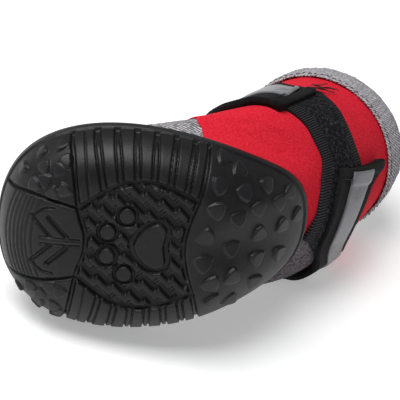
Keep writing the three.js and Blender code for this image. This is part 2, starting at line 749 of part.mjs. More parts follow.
const makeRightTape = () => surfaceStrip({
  edges: RIGHT_STRAP_EDGES, ...RIGHT_TAPE_ENDS, slantFrom: RIGHT_HEM_SLANT, low: TAPE_LOW, high: TAPE_HIGH,
  lift: tapeLift, thickness: TAPE_THICKNESS,
});

function namedMesh(name, geometry, color, roughness) {
  const bare = geometry.index ? geometry.toNonIndexed() : geometry;
  bare.computeVertexNormals();
  const mesh = new THREE.Mesh(bare, new THREE.MeshStandardMaterial({ color, roughness, metalness: 0 }));
  mesh.name = name;
  return mesh;
}

const shoe = new THREE.Group();
shoe.add(namedMesh('outsole', outsoleGeometry, COLORS.rubber, 0.55));
shoe.add(namedMesh('insole', makeInsole(), COLORS.foam, 0.9));
shoe.add(namedMesh('upper', makeUpper(), COLORS.panel, 0.9));
shoe.add(namedMesh('collar_binding', makeBinding(), COLORS.binding, 0.95));
shoe.add(namedMesh('loop_band', makeLoopBand(), COLORS.webbing, 0.9));
shoe.add(namedMesh('strap_left', makeLeftStrap(), COLORS.webbing, 0.8));
shoe.add(namedMesh('strap_right', makeRightStrap(), COLORS.webbing, 0.8));
shoe.add(namedMesh('reflective_tape_left', makeLeftTape(), COLORS.tape, 0.4));
shoe.add(namedMesh('reflective_tape_right', makeRightTape(), COLORS.tape, 0.4));

// The bootie lies on its right side, its toe along -X and its tread facing -Y
const lying = new THREE.Group();
const onItsSide = new THREE.Matrix4().makeBasis(
  new THREE.Vector3(-1, 0, 0),
  new THREE.Vector3(0, 0, 1),
  new THREE.Vector3(0, 1, 0),
);
lying.add(shoe);
shoe.quaternion.setFromRotationMatrix(onItsSide);
lying.quaternion.setFromUnitVectors(floorDown.clone().applyMatrix4(onItsSide), new THREE.Vector3(0, 0, -1));

const bootie = new THREE.Group();
bootie.add(lying);
bootie.updateMatrixWorld(true);
const box = new THREE.Box3().setFromObject(lying, true);
const middle = box.getCenter(new THREE.Vector3());
lying.position.set(-middle.x, -middle.y, -box.min.z);

export default bootie;
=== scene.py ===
import bpy
import numpy as np
from mathutils import Matrix, Quaternion, Vector
from mathutils.geometry import delaunay_2d_cdt


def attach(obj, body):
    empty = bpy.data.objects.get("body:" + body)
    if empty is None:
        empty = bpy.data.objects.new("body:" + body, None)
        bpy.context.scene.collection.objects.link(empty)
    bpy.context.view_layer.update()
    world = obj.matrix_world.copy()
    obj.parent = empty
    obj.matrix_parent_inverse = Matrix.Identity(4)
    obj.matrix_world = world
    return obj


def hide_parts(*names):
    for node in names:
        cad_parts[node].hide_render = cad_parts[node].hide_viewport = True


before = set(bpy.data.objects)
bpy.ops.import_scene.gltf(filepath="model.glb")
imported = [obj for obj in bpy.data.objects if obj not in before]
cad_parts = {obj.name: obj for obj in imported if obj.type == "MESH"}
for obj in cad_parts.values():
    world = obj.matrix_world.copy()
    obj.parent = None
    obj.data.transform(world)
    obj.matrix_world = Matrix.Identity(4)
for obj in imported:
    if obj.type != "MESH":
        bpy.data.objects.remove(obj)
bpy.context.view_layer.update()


# Studio: a pale floor, soft light from above and a camera at the photograph's angle to the shoe.
# The shoe's own frame has +X at the toe, +Y at its left, +Z up from the tread, in millimetres.
# It lies on its right side, so the floor's direction leans to the toe and to the collar.
FLOOR_TO_TOE = 0.187
FLOOR_TO_COLLAR = 0.30
LIES_AT = np.array([-17.4833, -46.7322, 34.8917])
on_its_side = Matrix(((-1, 0, 0), (0, 0, 1), (0, 1, 0)))
floor_down = Vector((FLOOR_TO_TOE, -1, FLOOR_TO_COLLAR)).normalized()
tilt = (on_its_side @ floor_down).rotation_difference(Vector((0, 0, -1))).to_matrix()
shoe_turn = tilt @ on_its_side


def laid(points):
    """Points of the shoe's own frame, in millimetres, as they lie in the row's frame, in metres."""
    return (np.asarray(points, float) @ np.array(shoe_turn).T + LIES_AT) / 1000


PHOTO_TURN = Vector((0.0608556, 0.6156119, -3.0137387))
PHOTO_SHIFT = Vector((-12.1295, 12.8776, 500.0))
PHOTO_FOCUS = 1850.0
PHOTO_WIDTH = 400.0
SENSOR = 36.0
to_camera = Quaternion(PHOTO_TURN.normalized(), PHOTO_TURN.length).to_matrix()
camera_spot = -(to_camera.transposed() @ PHOTO_SHIFT)
camera_axes = shoe_turn @ Matrix((to_camera[0], -to_camera[1], -to_camera[2])).transposed()
camera_data = bpy.data.cameras.new("photo_camera")
camera_data.sensor_fit = "HORIZONTAL"
camera_data.sensor_width = SENSOR
camera_data.lens = PHOTO_FOCUS / PHOTO_WIDTH * SENSOR
camera_data.clip_start = 0.01
camera = bpy.data.objects.new("photo_camera", camera_data)
camera.matrix_world = Matrix.Translation(Vector(laid(camera_spot))) @ camera_axes.to_4x4()
bpy.context.scene.collection.objects.link(camera)
bpy.context.scene.camera = camera
bpy.context.scene.view_settings.view_transform = "Standard"

world = bpy.data.worlds.new("studio")
world.use_nodes = True
world.node_tree.nodes["Background"].inputs["Color"].default_value = (0.96, 0.98, 1.0, 1)
world.node_tree.nodes["Background"].inputs["Strength"].default_value = 0.20
bpy.context.scene.world = world


def softbox(name, spot, aim, size, watts):
    light = bpy.data.lights.new(name, "AREA")
    light.shape = "SQUARE"
    light.size = size
    light.energy = watts
    lamp = bpy.data.objects.new(name, light)
    lamp.location = spot
    lamp.rotation_euler = (Vector(aim) - Vector(spot)).to_track_quat("-Z", "Y").to_euler()
    bpy.context.scene.collection.objects.link(lamp)


softbox("overhead_softbox", (-0.22, -0.05, 0.60), (0, 0, 0.03), 0.40, 3.9)
softbox("front_softbox", (-0.60, 0.10, 0.45), (0, 0, 0.03), 0.35, 0.5)


class Signal:
    """A socket of a material, so that shader maths is written as plain expressions."""

    def __init__(self, tree, socket=None):
        self.tree = tree
        self.socket = socket

    def node(self, kind, settings=None, sockets=None, out=0):
        made = self.tree.nodes.new(kind)
        for name, value in (settings or {}).items():
            setattr(made, name, value)
        for name, value in (sockets or {}).items():
            if isinstance(value, Signal):
                self.tree.links.new(value.socket, made.inputs[name])
            else:
                made.inputs[name].default_value = value
        return Signal(self.tree, made.outputs[out])

    def math(self, operation, *values):
        return self.node("ShaderNodeMath", {"operation": operation}, dict(enumerate(values)))

    def __add__(self, other):
        return self.math("ADD", self, other)

    def __radd__(self, other):
        return self.math("ADD", other, self)

    def __sub__(self, other):
        return self.math("SUBTRACT", self, other)

    def __rsub__(self, other):
        return self.math("SUBTRACT", other, self)

    def __mul__(self, other):
        return self.math("MULTIPLY", self, other)

    def __rmul__(self, other):
        return self.math("MULTIPLY", other, self)

    def wave(self):
        return self.math("SINE", self)

    def within(self, low, high):
        sockets = {"Value": self, "From Min": low, "From Max": high}
        return self.node("ShaderNodeMapRange", {"interpolation_type": "SMOOTHSTEP"}, sockets)

    def mixed(self, one, other):
        """Colour one where this signal is 0 and colour other where it is 1."""
        sockets = {0: self, 6: one, 7: other}
        return self.node("ShaderNodeMix", {"data_type": "RGBA"}, sockets, out=2)

    def raised(self, distance, strength=1.0):
        return self.node("ShaderNodeBump", None, {"Height": self, "Distance": distance, "Strength": strength})


class Finish:
    """A material under way: its shader, and the signals that its patterns start from."""

    def __init__(self, name, **fixed):
        self.material = bpy.data.materials.new(name)
        self.material.use_nodes = True
        self.tree = self.material.node_tree
        self.shader = self.tree.nodes["Principled BSDF"]
        for socket, value in fixed.items():
            self.shader.inputs[socket.replace("_", " ")].default_value = value
        self.start = Signal(self.tree)

    def spot(self):
        return self.start.node("ShaderNodeTexCoord", out="Object")

    def speckle(self, scale, detail=2.0, roughness=0.5):
        sockets = {"Vector": self.spot(), "Scale": scale, "Detail": detail, "Roughness": roughness}
        return self.start.node("ShaderNodeTexNoise", None, sockets)

    def stored(self, name):
        return self.start.node("ShaderNodeAttribute", {"attribute_name": name}, None, out="Fac")

    def cloth(self):
        """The two places along a cloth, in millimetres: round the leg, and up the leg."""
        uv = self.start.node("ShaderNodeUVMap", {"uv_map": "cloth"})
        split = uv.node("ShaderNodeSeparateXYZ", None, {0: uv})
        return split, Signal(self.tree, split.socket.node.outputs[1])

    def wear(self, **links):
        for name, signal in links.items():
            self.tree.links.new(signal.socket, self.shader.inputs[name.replace("_", " ")])


floor_finish = Finish("pale_floor", Base_Color=(0.9, 0.9, 0.9, 1), Roughness=0.9, Specular_IOR_Level=0.1,
                      Emission_Color=(1, 1, 1, 1), Emission_Strength=0.32)
floor_mesh = bpy.data.meshes.new("floor")
floor_mesh.from_pydata([(-3, -3, 0), (3, -3, 0), (3, 3, 0), (-3, 3, 0)], [], [(0, 1, 2, 3)])
floor_mesh.materials.append(floor_finish.material)
floor = bpy.data.objects.new("floor", floor_mesh)
bpy.context.scene.collection.objects.link(floor)


# Outsole: one moulding of black rubber with a rounded cup, a proud rim lip and a deep tread. The mould
# leaves it satin, with soft edges to every groove; painted shade darkens its grooves, the lug tops paler.
SOLE_LENGTH = 86.2
BALL_WIDTH = 58.2
TOE_RISE = 15.8
WAIST_RISE = 15.0
HEEL_RISE = 26.4
SOLE_FLOOR = 4.0
SOLE_WALL = 2.2
RIM_BAND = 2.4
RIM_PROUD = 0.4
HALF_LENGTH = SOLE_LENGTH / 2
HALF_WIDTH = BALL_WIDTH / 2
SOLE_WIDTHS = [0.000, 0.519, 0.850, 0.999, 0.989, 0.853, 0.640, 0.390, 0.000]
SOLE_FLATS = [0.52, 0.55, 0.60, 0.62, 0.62, 0.58, 0.45, 0.33, 0.28]
SOLE_CROWNS = [2.2, 2.2, 2.2, 2.2, 2.2, 2.0, 1.7, 1.5, 1.4]
RIM_TOES = [1.00, 0.87, 0.50, 0.12, 0.00, 0.00, 0.00, 0.00, 0.00]
RIM_HEELS = [0.00, 0.00, 0.00, 0.00, 0.00, 0.10, 0.45, 0.85, 1.00]


def even_curve(values):
    last = len(values) - 1
    weights = np.array([0.5 if k in (0, last) else 1.0 for k in range(last + 1)])
    orders = np.arange(last + 1)
    angles = np.outer(orders, orders) * np.pi / last
    shares = np.where((orders == 0) | (orders == last), 1, 2)
    terms = (np.cos(angles) * weights * values).sum(1) * shares / last
    return lambda turn: sum(term * np.cos(order * turn) for order, term in enumerate(terms))


def odd_curve(values):
    last = len(values) - 1
    orders = np.arange(last + 1)
    terms = 2 * (np.sin(np.outer(orders, orders) * np.pi / last) * values).sum(1) / last
    return lambda turn: sum(term * np.sin(order * turn) for order, term in enumerate(terms))


width_share = odd_curve(SOLE_WIDTHS)
flat_share = even_curve(SOLE_FLATS)
crown_at = even_curve(SOLE_CROWNS)
toe_share = even_curve(RIM_TOES)
heel_share = even_curve(RIM_HEELS)


def rim_height(turn):
    rise = (TOE_RISE - WAIST_RISE) * toe_share(turn) + (HEEL_RISE - WAIST_RISE) * heel_share(turn)
    return WAIST_RISE + rise


def sole_edge(turn):
    return np.stack([HALF_LENGTH * np.cos(turn), HALF_WIDTH * width_share(turn)], -1)


def sole_point(turn, climb, inset=0.0, lift=0.0):
    """Point on the sole's rounded side, inset from its outer skin and lifted from the tread plane."""
    edge = sole_edge(turn)
    length = np.linalg.norm(edge, axis=-1)
    angle = climb * np.pi / 2
    power = 2 / crown_at(turn)
    reach = flat_share(turn) + (1 - flat_share(turn)) * np.sin(angle) ** power
    height = 1 - np.maximum(np.cos(angle), 0) ** power
    plan = edge * ((length - inset) / length * reach)[..., None]
    rise = lift + (rim_height(turn) - lift) * height
    return np.concatenate([plan, rise[..., None]], -1)


# The sole's skin is measured flat, outwards from its middle, so that grooves keep their width up its side
SKIN_TURNS = 720
SKIN_CLIMBS = 80
sole_turns = np.linspace(0, 2 * np.pi, SKIN_TURNS + 1)
sole_climbs = 0.5 - 0.5 * np.cos(np.linspace(0, np.pi, SKIN_CLIMBS + 1))
edge_table = sole_edge(sole_turns)
edge_length = np.linalg.norm(edge_table, axis=-1)
edge_heading = np.unwrap(np.arctan2(edge_table[:, 1], edge_table[:, 0]))
side_table = sole_point(*np.broadcast_arrays(sole_turns[:, None], sole_climbs))
side_steps = np.linalg.norm(np.diff(side_table, axis=1), axis=-1)
side_length = np.concatenate([np.zeros((SKIN_TURNS + 1, 1)), side_steps.cumsum(1)], 1)
flat_reach = flat_share(sole_turns) * edge_length
whole_reach = flat_reach + side_length[:, -1]


def turn_of(flat):
    heading = np.arctan2(flat[..., 1], flat[..., 0]) % (2 * np.pi)
    return np.interp(heading, edge_heading, sole_turns)


def flattened(plan):
    """Plan points, in millimetres, as they lie on the flattened skin."""
    plan = np.asarray(plan, float)
    turn = turn_of(plan)
    away = np.linalg.norm(plan, axis=-1)
    flat = np.interp(turn, sole_turns, flat_reach)
    share = np.clip((away - flat) / (np.interp(turn, sole_turns, edge_length) - flat), 0, 1)
    climb = np.arcsin(share ** (crown_at(turn) / 2)) * 2 / np.pi
    row = np.round(turn / (2 * np.pi) * SKIN_TURNS).astype(int)
    side = np.array([np.interp(c, sole_climbs, side_length[r]) for c, r in zip(climb, row)])
    past = np.maximum(away - np.interp(turn, sole_turns, edge_length), 0)
    reach = np.where(away <= flat, away, flat + side + past)
    return plan / np.maximum(away, 1e-9)[:, None] * reach[:, None]


def sole_skin(flat):
    """Base points of the skin for flattened places."""
    turn = turn_of(flat)
    reach = np.linalg.norm(flat, axis=-1)
    spot = turn / (2 * np.pi) * SKIN_TURNS
    row = np.minimum(spot.astype(int), SKIN_TURNS - 1)
    part = (spot - row)[:, None]
    lengths = side_length[row] * (1 - part) + side_length[row + 1] * part
    level = np.interp(turn, sole_turns, flat_reach)
    side = np.clip(reach - level, 0, lengths[:, -1])
    found = np.clip((lengths < side[:, None]).sum(1), 1, SKIN_CLIMBS)
    low = np.take_along_axis(lengths, found[:, None] - 1, 1)[:, 0]
    high = np.take_along_axis(lengths, found[:, None], 1)[:, 0]
    share = (side - low) / np.maximum(high - low, 1e-9)
    climb = sole_climbs[found - 1] * (1 - share) + sole_climbs[found] * share
    points = sole_point(turn, np.where(reach <= level, 0, climb))
    inner = reach < level
    points[inner, :2] = flat[inner]
    points[inner, 2] = 0
    return points


def smooth(value):
    value = np.clip(value, 0, 1)
    return value * value * (3 - 2 * value)


def band(distance, half, soft=0.22):
    """1 on a line of the given half width, easing to 0 over its soft edge."""
    return 1 - smooth((distance - half + soft) / (2 * soft))


def to_line(points, line):
    """Distance of points from a line of straight runs, and the share along it of the nearest place."""
    best = np.full(len(points), 1e9)
    place = np.zeros(len(points))
    runs = len(line) - 1
    for k in range(runs):
        start, along = line[k], line[k + 1] - line[k]
        share = np.clip(((points - start) @ along) / (along @ along), 0, 1)
        away = np.linalg.norm(points - start - share[:, None] * along, axis=1)
        nearer = away < best
        best[nearer] = away[nearer]
        place[nearer] = (k + share[nearer]) / runs
    return best, place


def rounded(line, steps=6):
    """Smooth run through a few points."""
    line = np.asarray(line, float)
    ends = np.vstack([2 * line[0] - line[1], line, 2 * line[-1] - line[-2]])
    out = []
    for k in range(len(line) - 1):
        p0, p1, p2, p3 = ends[k:k + 4]
        for share in np.arange(steps) / steps:
            bend = (2 * p0 - 5 * p1 + 4 * p2 - p3) * share ** 2 + (3 * p1 - p0 - 3 * p2 + p3) * share ** 3
            out.append(0.5 * (2 * p1 + (p2 - p0) * share + bend))
    return np.array(out + [line[-1]])


HALF_SIZES = np.array([HALF_LENGTH, HALF_WIDTH])
MIRROR = np.array([1, -1])
TOE_BAR = [(0.437, 0), (0.445, 0.12), (0.490, 0.345), (0.555, 0.93), (0.600, 1.15)]
TOE_PANEL = [(0.490, 0.345), (0.600, 0.385), (0.720, 0.420), (0.850, 0.435), (1.050, 0.410)]
OVAL_EDGE = [(0.490, 0.345), (0.360, 0.490), (0.265, 0.580), (0.180, 0.622), (0.060, 0.635),
             (-0.070, 0.590), (-0.250, 0.474)]
HEEL_BAR = [(-0.177, 0), (-0.180, 0.09), (-0.205, 0.27), (-0.250, 0.474), (-0.278, 0.62),
            (-0.310, 0.90), (-0.335, 1.15)]
MAIN_PAD = [(0.151, 0), (0.114, 0.125), (0.040, 0.222), (-0.028, 0.238), (-0.076, 0.170), (-0.062, 0)]
TOE_PADS = [(0.302, 0.122, 2.1), (0.186, 0.294, 2.15)]
HEEL_NUBS = [(-0.400, 0.805, 78), (-0.504, 0.701, 91), (-0.383, 0.622, 48), (-0.543, 0.526, -104),
             (-0.692, 0.529, 27), (-0.857, 0.385, 117), (-0.369, 0.399, 138), (-0.512, 0.288, -96),
             (-0.642, 0.344, 136), (-0.783, 0.341, 138), (-0.922, 0.121, 102), (-0.817, 0.084, 93),
             (-0.660, 0.074, 93), (-0.315, 0.131, 96), (-0.483, -0.014, -90), (-0.309, -0.140, -93),
             (-0.661, -0.177, 30), (-0.504, -0.309, 96), (-0.368, -0.356, 117), (-0.813, -0.203, 45),
             (-0.388, -0.550, 0), (-0.505, -0.576, -139), (-0.655, -0.420, 162)]
TOE_NUBS = [(0.612, 0.865, -71), (0.580, 0.775, 3), (0.620, 0.690, 63), (0.716, 0.682, 122),
            (0.735, 0.775, 178), (0.708, 0.575, 27), (0.850, 0.604, 175), (0.775, 0.515, 75),
            (0.586, 0.516, 71), (0.655, 0.470, 100)]
GROOVES = [(TOE_BAR, 0.60, 1.2), (TOE_PANEL, 0.42, 1.0), (OVAL_EDGE, 0.80, 1.4), (HEEL_BAR, 0.62, 1.2)]
RIB_FEET = [(0.332 - 0.101 * i, 0.417 - 0.132 * i) for i in range(6)]
LONE_RIB = (0.425, 0.490)
TOE_LINES = [40.7, 39.6, 38.5, 37.4, 36.3, 35.2, 33.6]


def both_sides(rows):
    line = rounded(np.array(rows) * HALF_SIZES)
    return line, line * MIRROR


def inside(points, outline):
    hit = np.zeros(len(points), bool)
    x, y = points.T
    for (x0, y0), (x1, y1) in zip(outline, np.roll(outline, -1, 0)):
        crosses = (y0 > y) != (y1 > y)
        with np.errstate(divide="ignore", invalid="ignore"):
            hit ^= crosses & (x < (x1 - x0) * (y - y0) / (y1 - y0) + x0)
    return hit


def nub(points, centre, twist, size):
    """Three-sided nub with bowed walls and a rounded edge, tallest at one corner: its height from 0 to 1."""
    near = np.linalg.norm(points - centre, axis=1) < size
    local = points[near] - centre
    angles = np.radians(twist) + np.arange(3) * 2 * np.pi / 3
    corners = np.stack([np.cos(angles), np.sin(angles)], -1) * size / np.sqrt(3)
    walls = np.linalg.norm(local[:, None] - corners, axis=2).max(1) - size
    ends = np.linalg.norm(local, axis=1) - 0.56 * size
    depth = np.clip(-np.maximum(walls, ends) / 0.6, 0, 1)
    ramp = 0.45 + 0.55 * smooth(local @ corners[0] / size ** 2 * 1.7 + 0.5)
    height = np.zeros(len(points))
    height[near] = np.sqrt(1 - (1 - depth) ** 2) * ramp
    return height


LUG_CELL = 4.7
LUG_LANE = 5.0
LUG_SHIFT = 1.7


def lug_field(flat):
    """Channels between the lugs: straight runs to the toe's right that step aside at each cell."""
    ahead = -(flat[:, 0] + flat[:, 1]) / np.sqrt(2)
    aside = (flat[:, 1] - flat[:, 0]) / np.sqrt(2)

    def lane_place(value):
        return np.abs((value + LUG_LANE / 2) % LUG_LANE - LUG_LANE / 2)

    cell = np.floor(ahead / LUG_CELL)
    step = np.round(ahead / LUG_CELL)
    run = band(lane_place(aside - LUG_SHIFT * cell), 0.88, 0.22)
    jump = band(np.abs(ahead - LUG_CELL * step), 0.62, 0.22) * band(
        lane_place(aside - LUG_SHIFT * (step - 0.5)), 1.55, 0.22)
    part = ahead - LUG_CELL * (cell + 0.5)
    ticks = np.maximum(band(np.abs(part - 0.15), 0.10, 0.14), band(np.abs(part - 1.0), 0.10, 0.14))
    ticks *= band(np.abs((aside - LUG_SHIFT * cell) % LUG_LANE - 1.7), 0.95, 0.2)
    return np.maximum(np.maximum(run, jump), 0.45 * ticks)


def tread_relief(flat):
    """Height of the tread over the sole's plain skin, in millimetres, at flattened places."""
    turn = turn_of(flat)
    below_rim = np.interp(turn, sole_turns, whole_reach) - np.linalg.norm(flat, axis=1)
    cut = np.zeros(len(flat))
    rise = np.zeros(len(flat))
    open_wall = smooth((below_rim - RIM_BAND) / 0.8)
    for rows, half, depth in GROOVES:
        for line in both_sides(rows):
            away, _ = to_line(flat, flattened(line))
            cut = np.maximum(cut, depth * band(away, half, 0.28))
    for foot, head in RIB_FEET:
        oval = np.interp(foot, *zip(*OVAL_EDGE[::-1]))
        for side in (1, -1):
            rib = np.linspace((foot, oval * side), (head, 1.1 * side), 8) * HALF_SIZES
            away, along = to_line(flat, flattened(rib))
            deep = smooth((11 - below_rim) / 6)
            cut = np.maximum(cut, 1.0 * band(np.abs(away - 0.78), 0.24, 0.2))
            cut = np.maximum(cut, (0.2 + 0.9 * deep) * band(away, 0.8, 0.2))
    for side in (1, -1):
        rib = np.linspace((LONE_RIB[0], 0.43 * side), (LONE_RIB[1], 1.1 * side), 8) * HALF_SIZES
        away, _ = to_line(flat, flattened(rib))
        cut = np.maximum(cut, 0.6 * band(away, 0.22, 0.2))
    field = np.vstack([both_sides(TOE_BAR)[0][:13], both_sides(OVAL_EDGE)[0], both_sides(HEEL_BAR)[0][18::-1],
                       both_sides(HEEL_BAR)[1][:19], both_sides(OVAL_EDGE)[1][::-1],
                       both_sides(TOE_BAR)[1][12::-1]])
    in_field = inside(flat, flattened(field)).astype(float)
    clear = np.ones(len(flat))
    rings = np.zeros(len(flat))
    for along, across, radius in TOE_PADS + [(a, -b, r) for a, b, r in TOE_PADS]:
        away = np.linalg.norm(flat - np.array([along, across]) * HALF_SIZES, axis=1)
        rings = np.maximum(rings, 1.1 * band(np.abs(away - radius - 0.5), 0.5, 0.2))
        clear *= smooth((away - radius - 1.1) / 0.3)
    left, right = both_sides(MAIN_PAD)
    pad = np.vstack([left, right[-2:0:-1]])
    pad_away, _ = to_line(flat, np.vstack([pad, pad[:1]]))
    in_pad = inside(flat, pad)
    rings = np.maximum(rings, 1.2 * band(np.abs(pad_away - 0.35 * ~in_pad), 0.6, 0.2))
    clear *= np.where(in_pad, 0, smooth((pad_away - 0.9) / 0.3))
    lugs = 1.25 * lug_field(flat)
    cut = np.maximum(cut, np.maximum(rings, lugs * clear) * in_field)
    for x in TOE_LINES:
        bow = np.array([(x - 0.018 * y * y, y) for y in np.linspace(-12, 12, 13)])
        away, _ = to_line(flat, flattened(bow))
        cut = np.maximum(cut, 0.42 * band(away, 0.16, 0.2))
    for side in (1, -1):
        line, _ = to_line(flat, np.array([[20.5, side * 0.85], [31.0, side * 1.0]]))
        cut = np.maximum(cut, 0.55 * band(line, 0.22, 0.2))
        for x, away, ahead, half in ((24.0, 1.6, 5.2, 0.6), (28.4, 1.2, 5.6, 0.5)):
            bar, _ = to_line(flat, np.array([[x, side * away], [x + ahead, side * (away + ahead)]]))
            cut = np.maximum(cut, 0.8 * band(bar, half, 0.2))
        arc, _ = to_line(flat, rounded([(27.5, side * 9.6), (30.5, side * 9.2), (33.2, side * 7.2)]))
        cut = np.maximum(cut, 0.6 * band(arc, 0.25, 0.2))
    toe_nubs = TOE_NUBS + [(a, -b, -t) for a, b, t in TOE_NUBS]
    for rows, size, tall in ((HEEL_NUBS, 5.3, 1.0), (toe_nubs, 4.0, 0.95)):
        centres = flattened(np.array([(a, b) for a, b, _ in rows]) * HALF_SIZES)
        for centre, (_, _, twist) in zip(centres, rows):
            rise = np.maximum(rise, tall * nub(flat, centre, twist, size))
    lip = RIM_PROUD * smooth((RIM_BAND - below_rim) / 0.5 + 0.5)
    seam = 0.35 * band(np.abs(below_rim - RIM_BAND - 0.35), 0.2, 0.2)
    return (rise - cut) * open_wall + lip - seam


# Places on the skin: a coarse net all over, and a finer one at each edge of the tread
rng = np.random.default_rng(7)
rim_count = 640
rim_headings = np.arange(rim_count) / rim_count * 2 * np.pi
rim_turns = np.interp(rim_headings, edge_heading, sole_turns)
rim_reach = np.interp(rim_turns, sole_turns, whole_reach)[:, None]
rim_flat = rim_reach * np.stack([np.cos(rim_headings), np.sin(rim_headings)], -1)
FINE = 0.25
span = np.abs(rim_flat).max(0) + 1
across = [np.arange(-s, s, FINE) for s in span]
net = np.stack(np.meshgrid(*across, indexing="ij"), -1)
net_flat = net.reshape(-1, 2)
on_sole = np.linalg.norm(net_flat, axis=1) < np.interp(turn_of(net_flat), sole_turns, whole_reach) - 0.3
relief = np.zeros(len(net_flat))
relief[on_sole] = tread_relief(net_flat[on_sole])
relief_net = relief.reshape(net.shape[:2])
steep = np.hypot(*np.gradient(relief_net, FINE))
bends = np.abs(np.gradient(np.gradient(relief_net, FINE, axis=0), FINE, axis=0)) + np.abs(
    np.gradient(np.gradient(relief_net, FINE, axis=1), FINE, axis=1))


def spread(values, reach):
    out = values.copy()
    for axis in (0, 1):
        for shift in range(1, reach + 1):
            out = np.maximum(out, np.maximum(np.roll(values, shift, axis), np.roll(values, -shift, axis)))
        values = out.copy()
    return out


rows_at, columns_at = np.indices(relief_net.shape)
keep = (rows_at % 4 == 0) & (columns_at % 4 == 0)
keep |= (rows_at % 2 == 0) & (columns_at % 2 == 0) & (spread(steep, 3) > 0.25)
keep |= spread(bends, 1) > 2.2
chosen = keep.ravel() & on_sole
skin_flat = net_flat[chosen] + rng.uniform(-0.02, 0.02, (chosen.sum(), 2))
all_flat = np.vstack([rim_flat, skin_flat])
all_spots = [Vector(map(float, p)) for p in all_flat]
found = delaunay_2d_cdt(all_spots, [], [list(range(rim_count))], 1, 1e-7, False)
tread_flat = np.array([tuple(p) for p in found[0]])
tread_faces = np.array(found[2])


def skin_normals(flat):
    nudge = 0.15
    ahead = sole_skin(flat + (nudge, 0)) - sole_skin(flat - (nudge, 0))
    aside = sole_skin(flat + (0, nudge)) - sole_skin(flat - (0, nudge))
    normal = -np.cross(ahead, aside)
    return normal / np.maximum(np.linalg.norm(normal, axis=1), 1e-9)[:, None]


reach_now = np.linalg.norm(tread_flat, axis=1)
reach_whole = np.interp(turn_of(tread_flat), sole_turns, whole_reach)
held = tread_flat * np.minimum(1, (reach_whole - 0.2) / np.maximum(reach_now, 1e-6))[:, None]
tread_height = tread_relief(tread_flat)
tread_points = sole_skin(tread_flat) + skin_normals(held) * tread_height[:, None]
rim_ids = [int(np.linalg.norm(tread_flat - p, axis=1).argmin()) for p in rim_flat]
lip_rings = [sole_point(rim_turns, np.ones(rim_count), inset) + (0, 0, rise)
             for inset, rise in ((-0.28, 0.22), (0.1, 0.36), (1.1, 0.42), (2.0, 0.30), (SOLE_WALL, 0.0))]
lip_rings += [sole_point(rim_turns, np.full(rim_count, climb), SOLE_WALL, SOLE_FLOOR)
              for climb in (0.95, 0.85, 0.7, 0.5, 0.3, 0.12, 0.0)]
inner_heart = np.array([[0.0, 0.0, SOLE_FLOOR]])
sole_points = np.vstack([tread_points, *lip_rings, inner_heart])
sole_heights = np.concatenate([tread_height, np.zeros(len(sole_points) - len(tread_points))])
sole_faces = [tuple(face) for face in tread_faces[:, ::-1]]
ring_starts = [len(tread_points) + k * rim_count for k in range(len(lip_rings))]
ring_ids = [rim_ids] + [list(range(first, first + rim_count)) for first in ring_starts]
for low, high in zip(ring_ids, ring_ids[1:]):
    for k in range(rim_count):
        nxt = (k + 1) % rim_count
        sole_faces.append((low[k], low[nxt], high[nxt], high[k]))
for k in range(rim_count):
    sole_faces.append((ring_ids[-1][k], ring_ids[-1][(k + 1) % rim_count], len(sole_points) - 1))


def piece(name, points, faces, finish, node, uv=None, values=None):
    """A finished piece from points of the shoe's frame, which stands for its CAD node."""
    mesh = bpy.data.meshes.new(name)
    mesh.from_pydata(laid(points).tolist(), [], [tuple(int(i) for i in face) for face in faces])
    mesh.polygons.foreach_set("use_smooth", [True] * len(mesh.polygons))
    if uv is not None:
        layer = mesh.uv_layers.new(name="cloth")
        corner = np.zeros(len(mesh.loops), np.int32)
        mesh.loops.foreach_get("vertex_index", corner)
        layer.data.foreach_set("uv", np.asarray(uv, np.float32)[corner].ravel())
    for key, value in (values or {}).items():
        mesh.attributes.new(key, "FLOAT", "POINT").data.foreach_set("value", np.asarray(value, np.float32))
    mesh.materials.append(finish.material)
    mesh.validate()
    made = bpy.data.objects.new(name, mesh)
    bpy.context.scene.collection.objects.link(made)
    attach(made, "root")
    if node:
        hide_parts(node)
    return made


def shade(red, green, blue):
    """A colour as it reads in the photograph, from 0 to 255, made linear."""
    channels = [value / 255 for value in (red, green, blue)]
    return tuple(c / 12.92 if c <= 0.04045 else ((c + 0.055) / 1.055) ** 2.4 for c in channels) + (1.0,)


rubber = Finish("moulded_rubber", Roughness=0.5, Specular_IOR_Level=0.35)
relief_signal = rubber.stored("relief")
dust = rubber.speckle(180, 6).within(0.42, 0.72)
# painted shade: the rubber's colour darkens with the tread's relief into every groove and pales on the lug
# tops
relief_painted_shade = relief_signal.within(-0.5, 0.9)
specks = rubber.speckle(900, 2).within(0.74, 0.80)
tone = relief_painted_shade.mixed(shade(12, 12, 13), shade(25, 25, 27))
tone = (dust * 0.3).mixed(tone, shade(38, 37, 39))
rubber.wear(
    Base_Color=(specks * 0.5).mixed(tone, shade(110, 108, 108)),
    Roughness=0.36 + rubber.speckle(90, 5) * 0.22,
    Normal=(rubber.speckle(2600, 3) + rubber.speckle(420, 4) * 1.2).raised(0.00012, 0.5),
)
piece("outsole_rubber", sole_points, sole_faces, rubber, "outsole", None,
      {"relief": sole_heights})


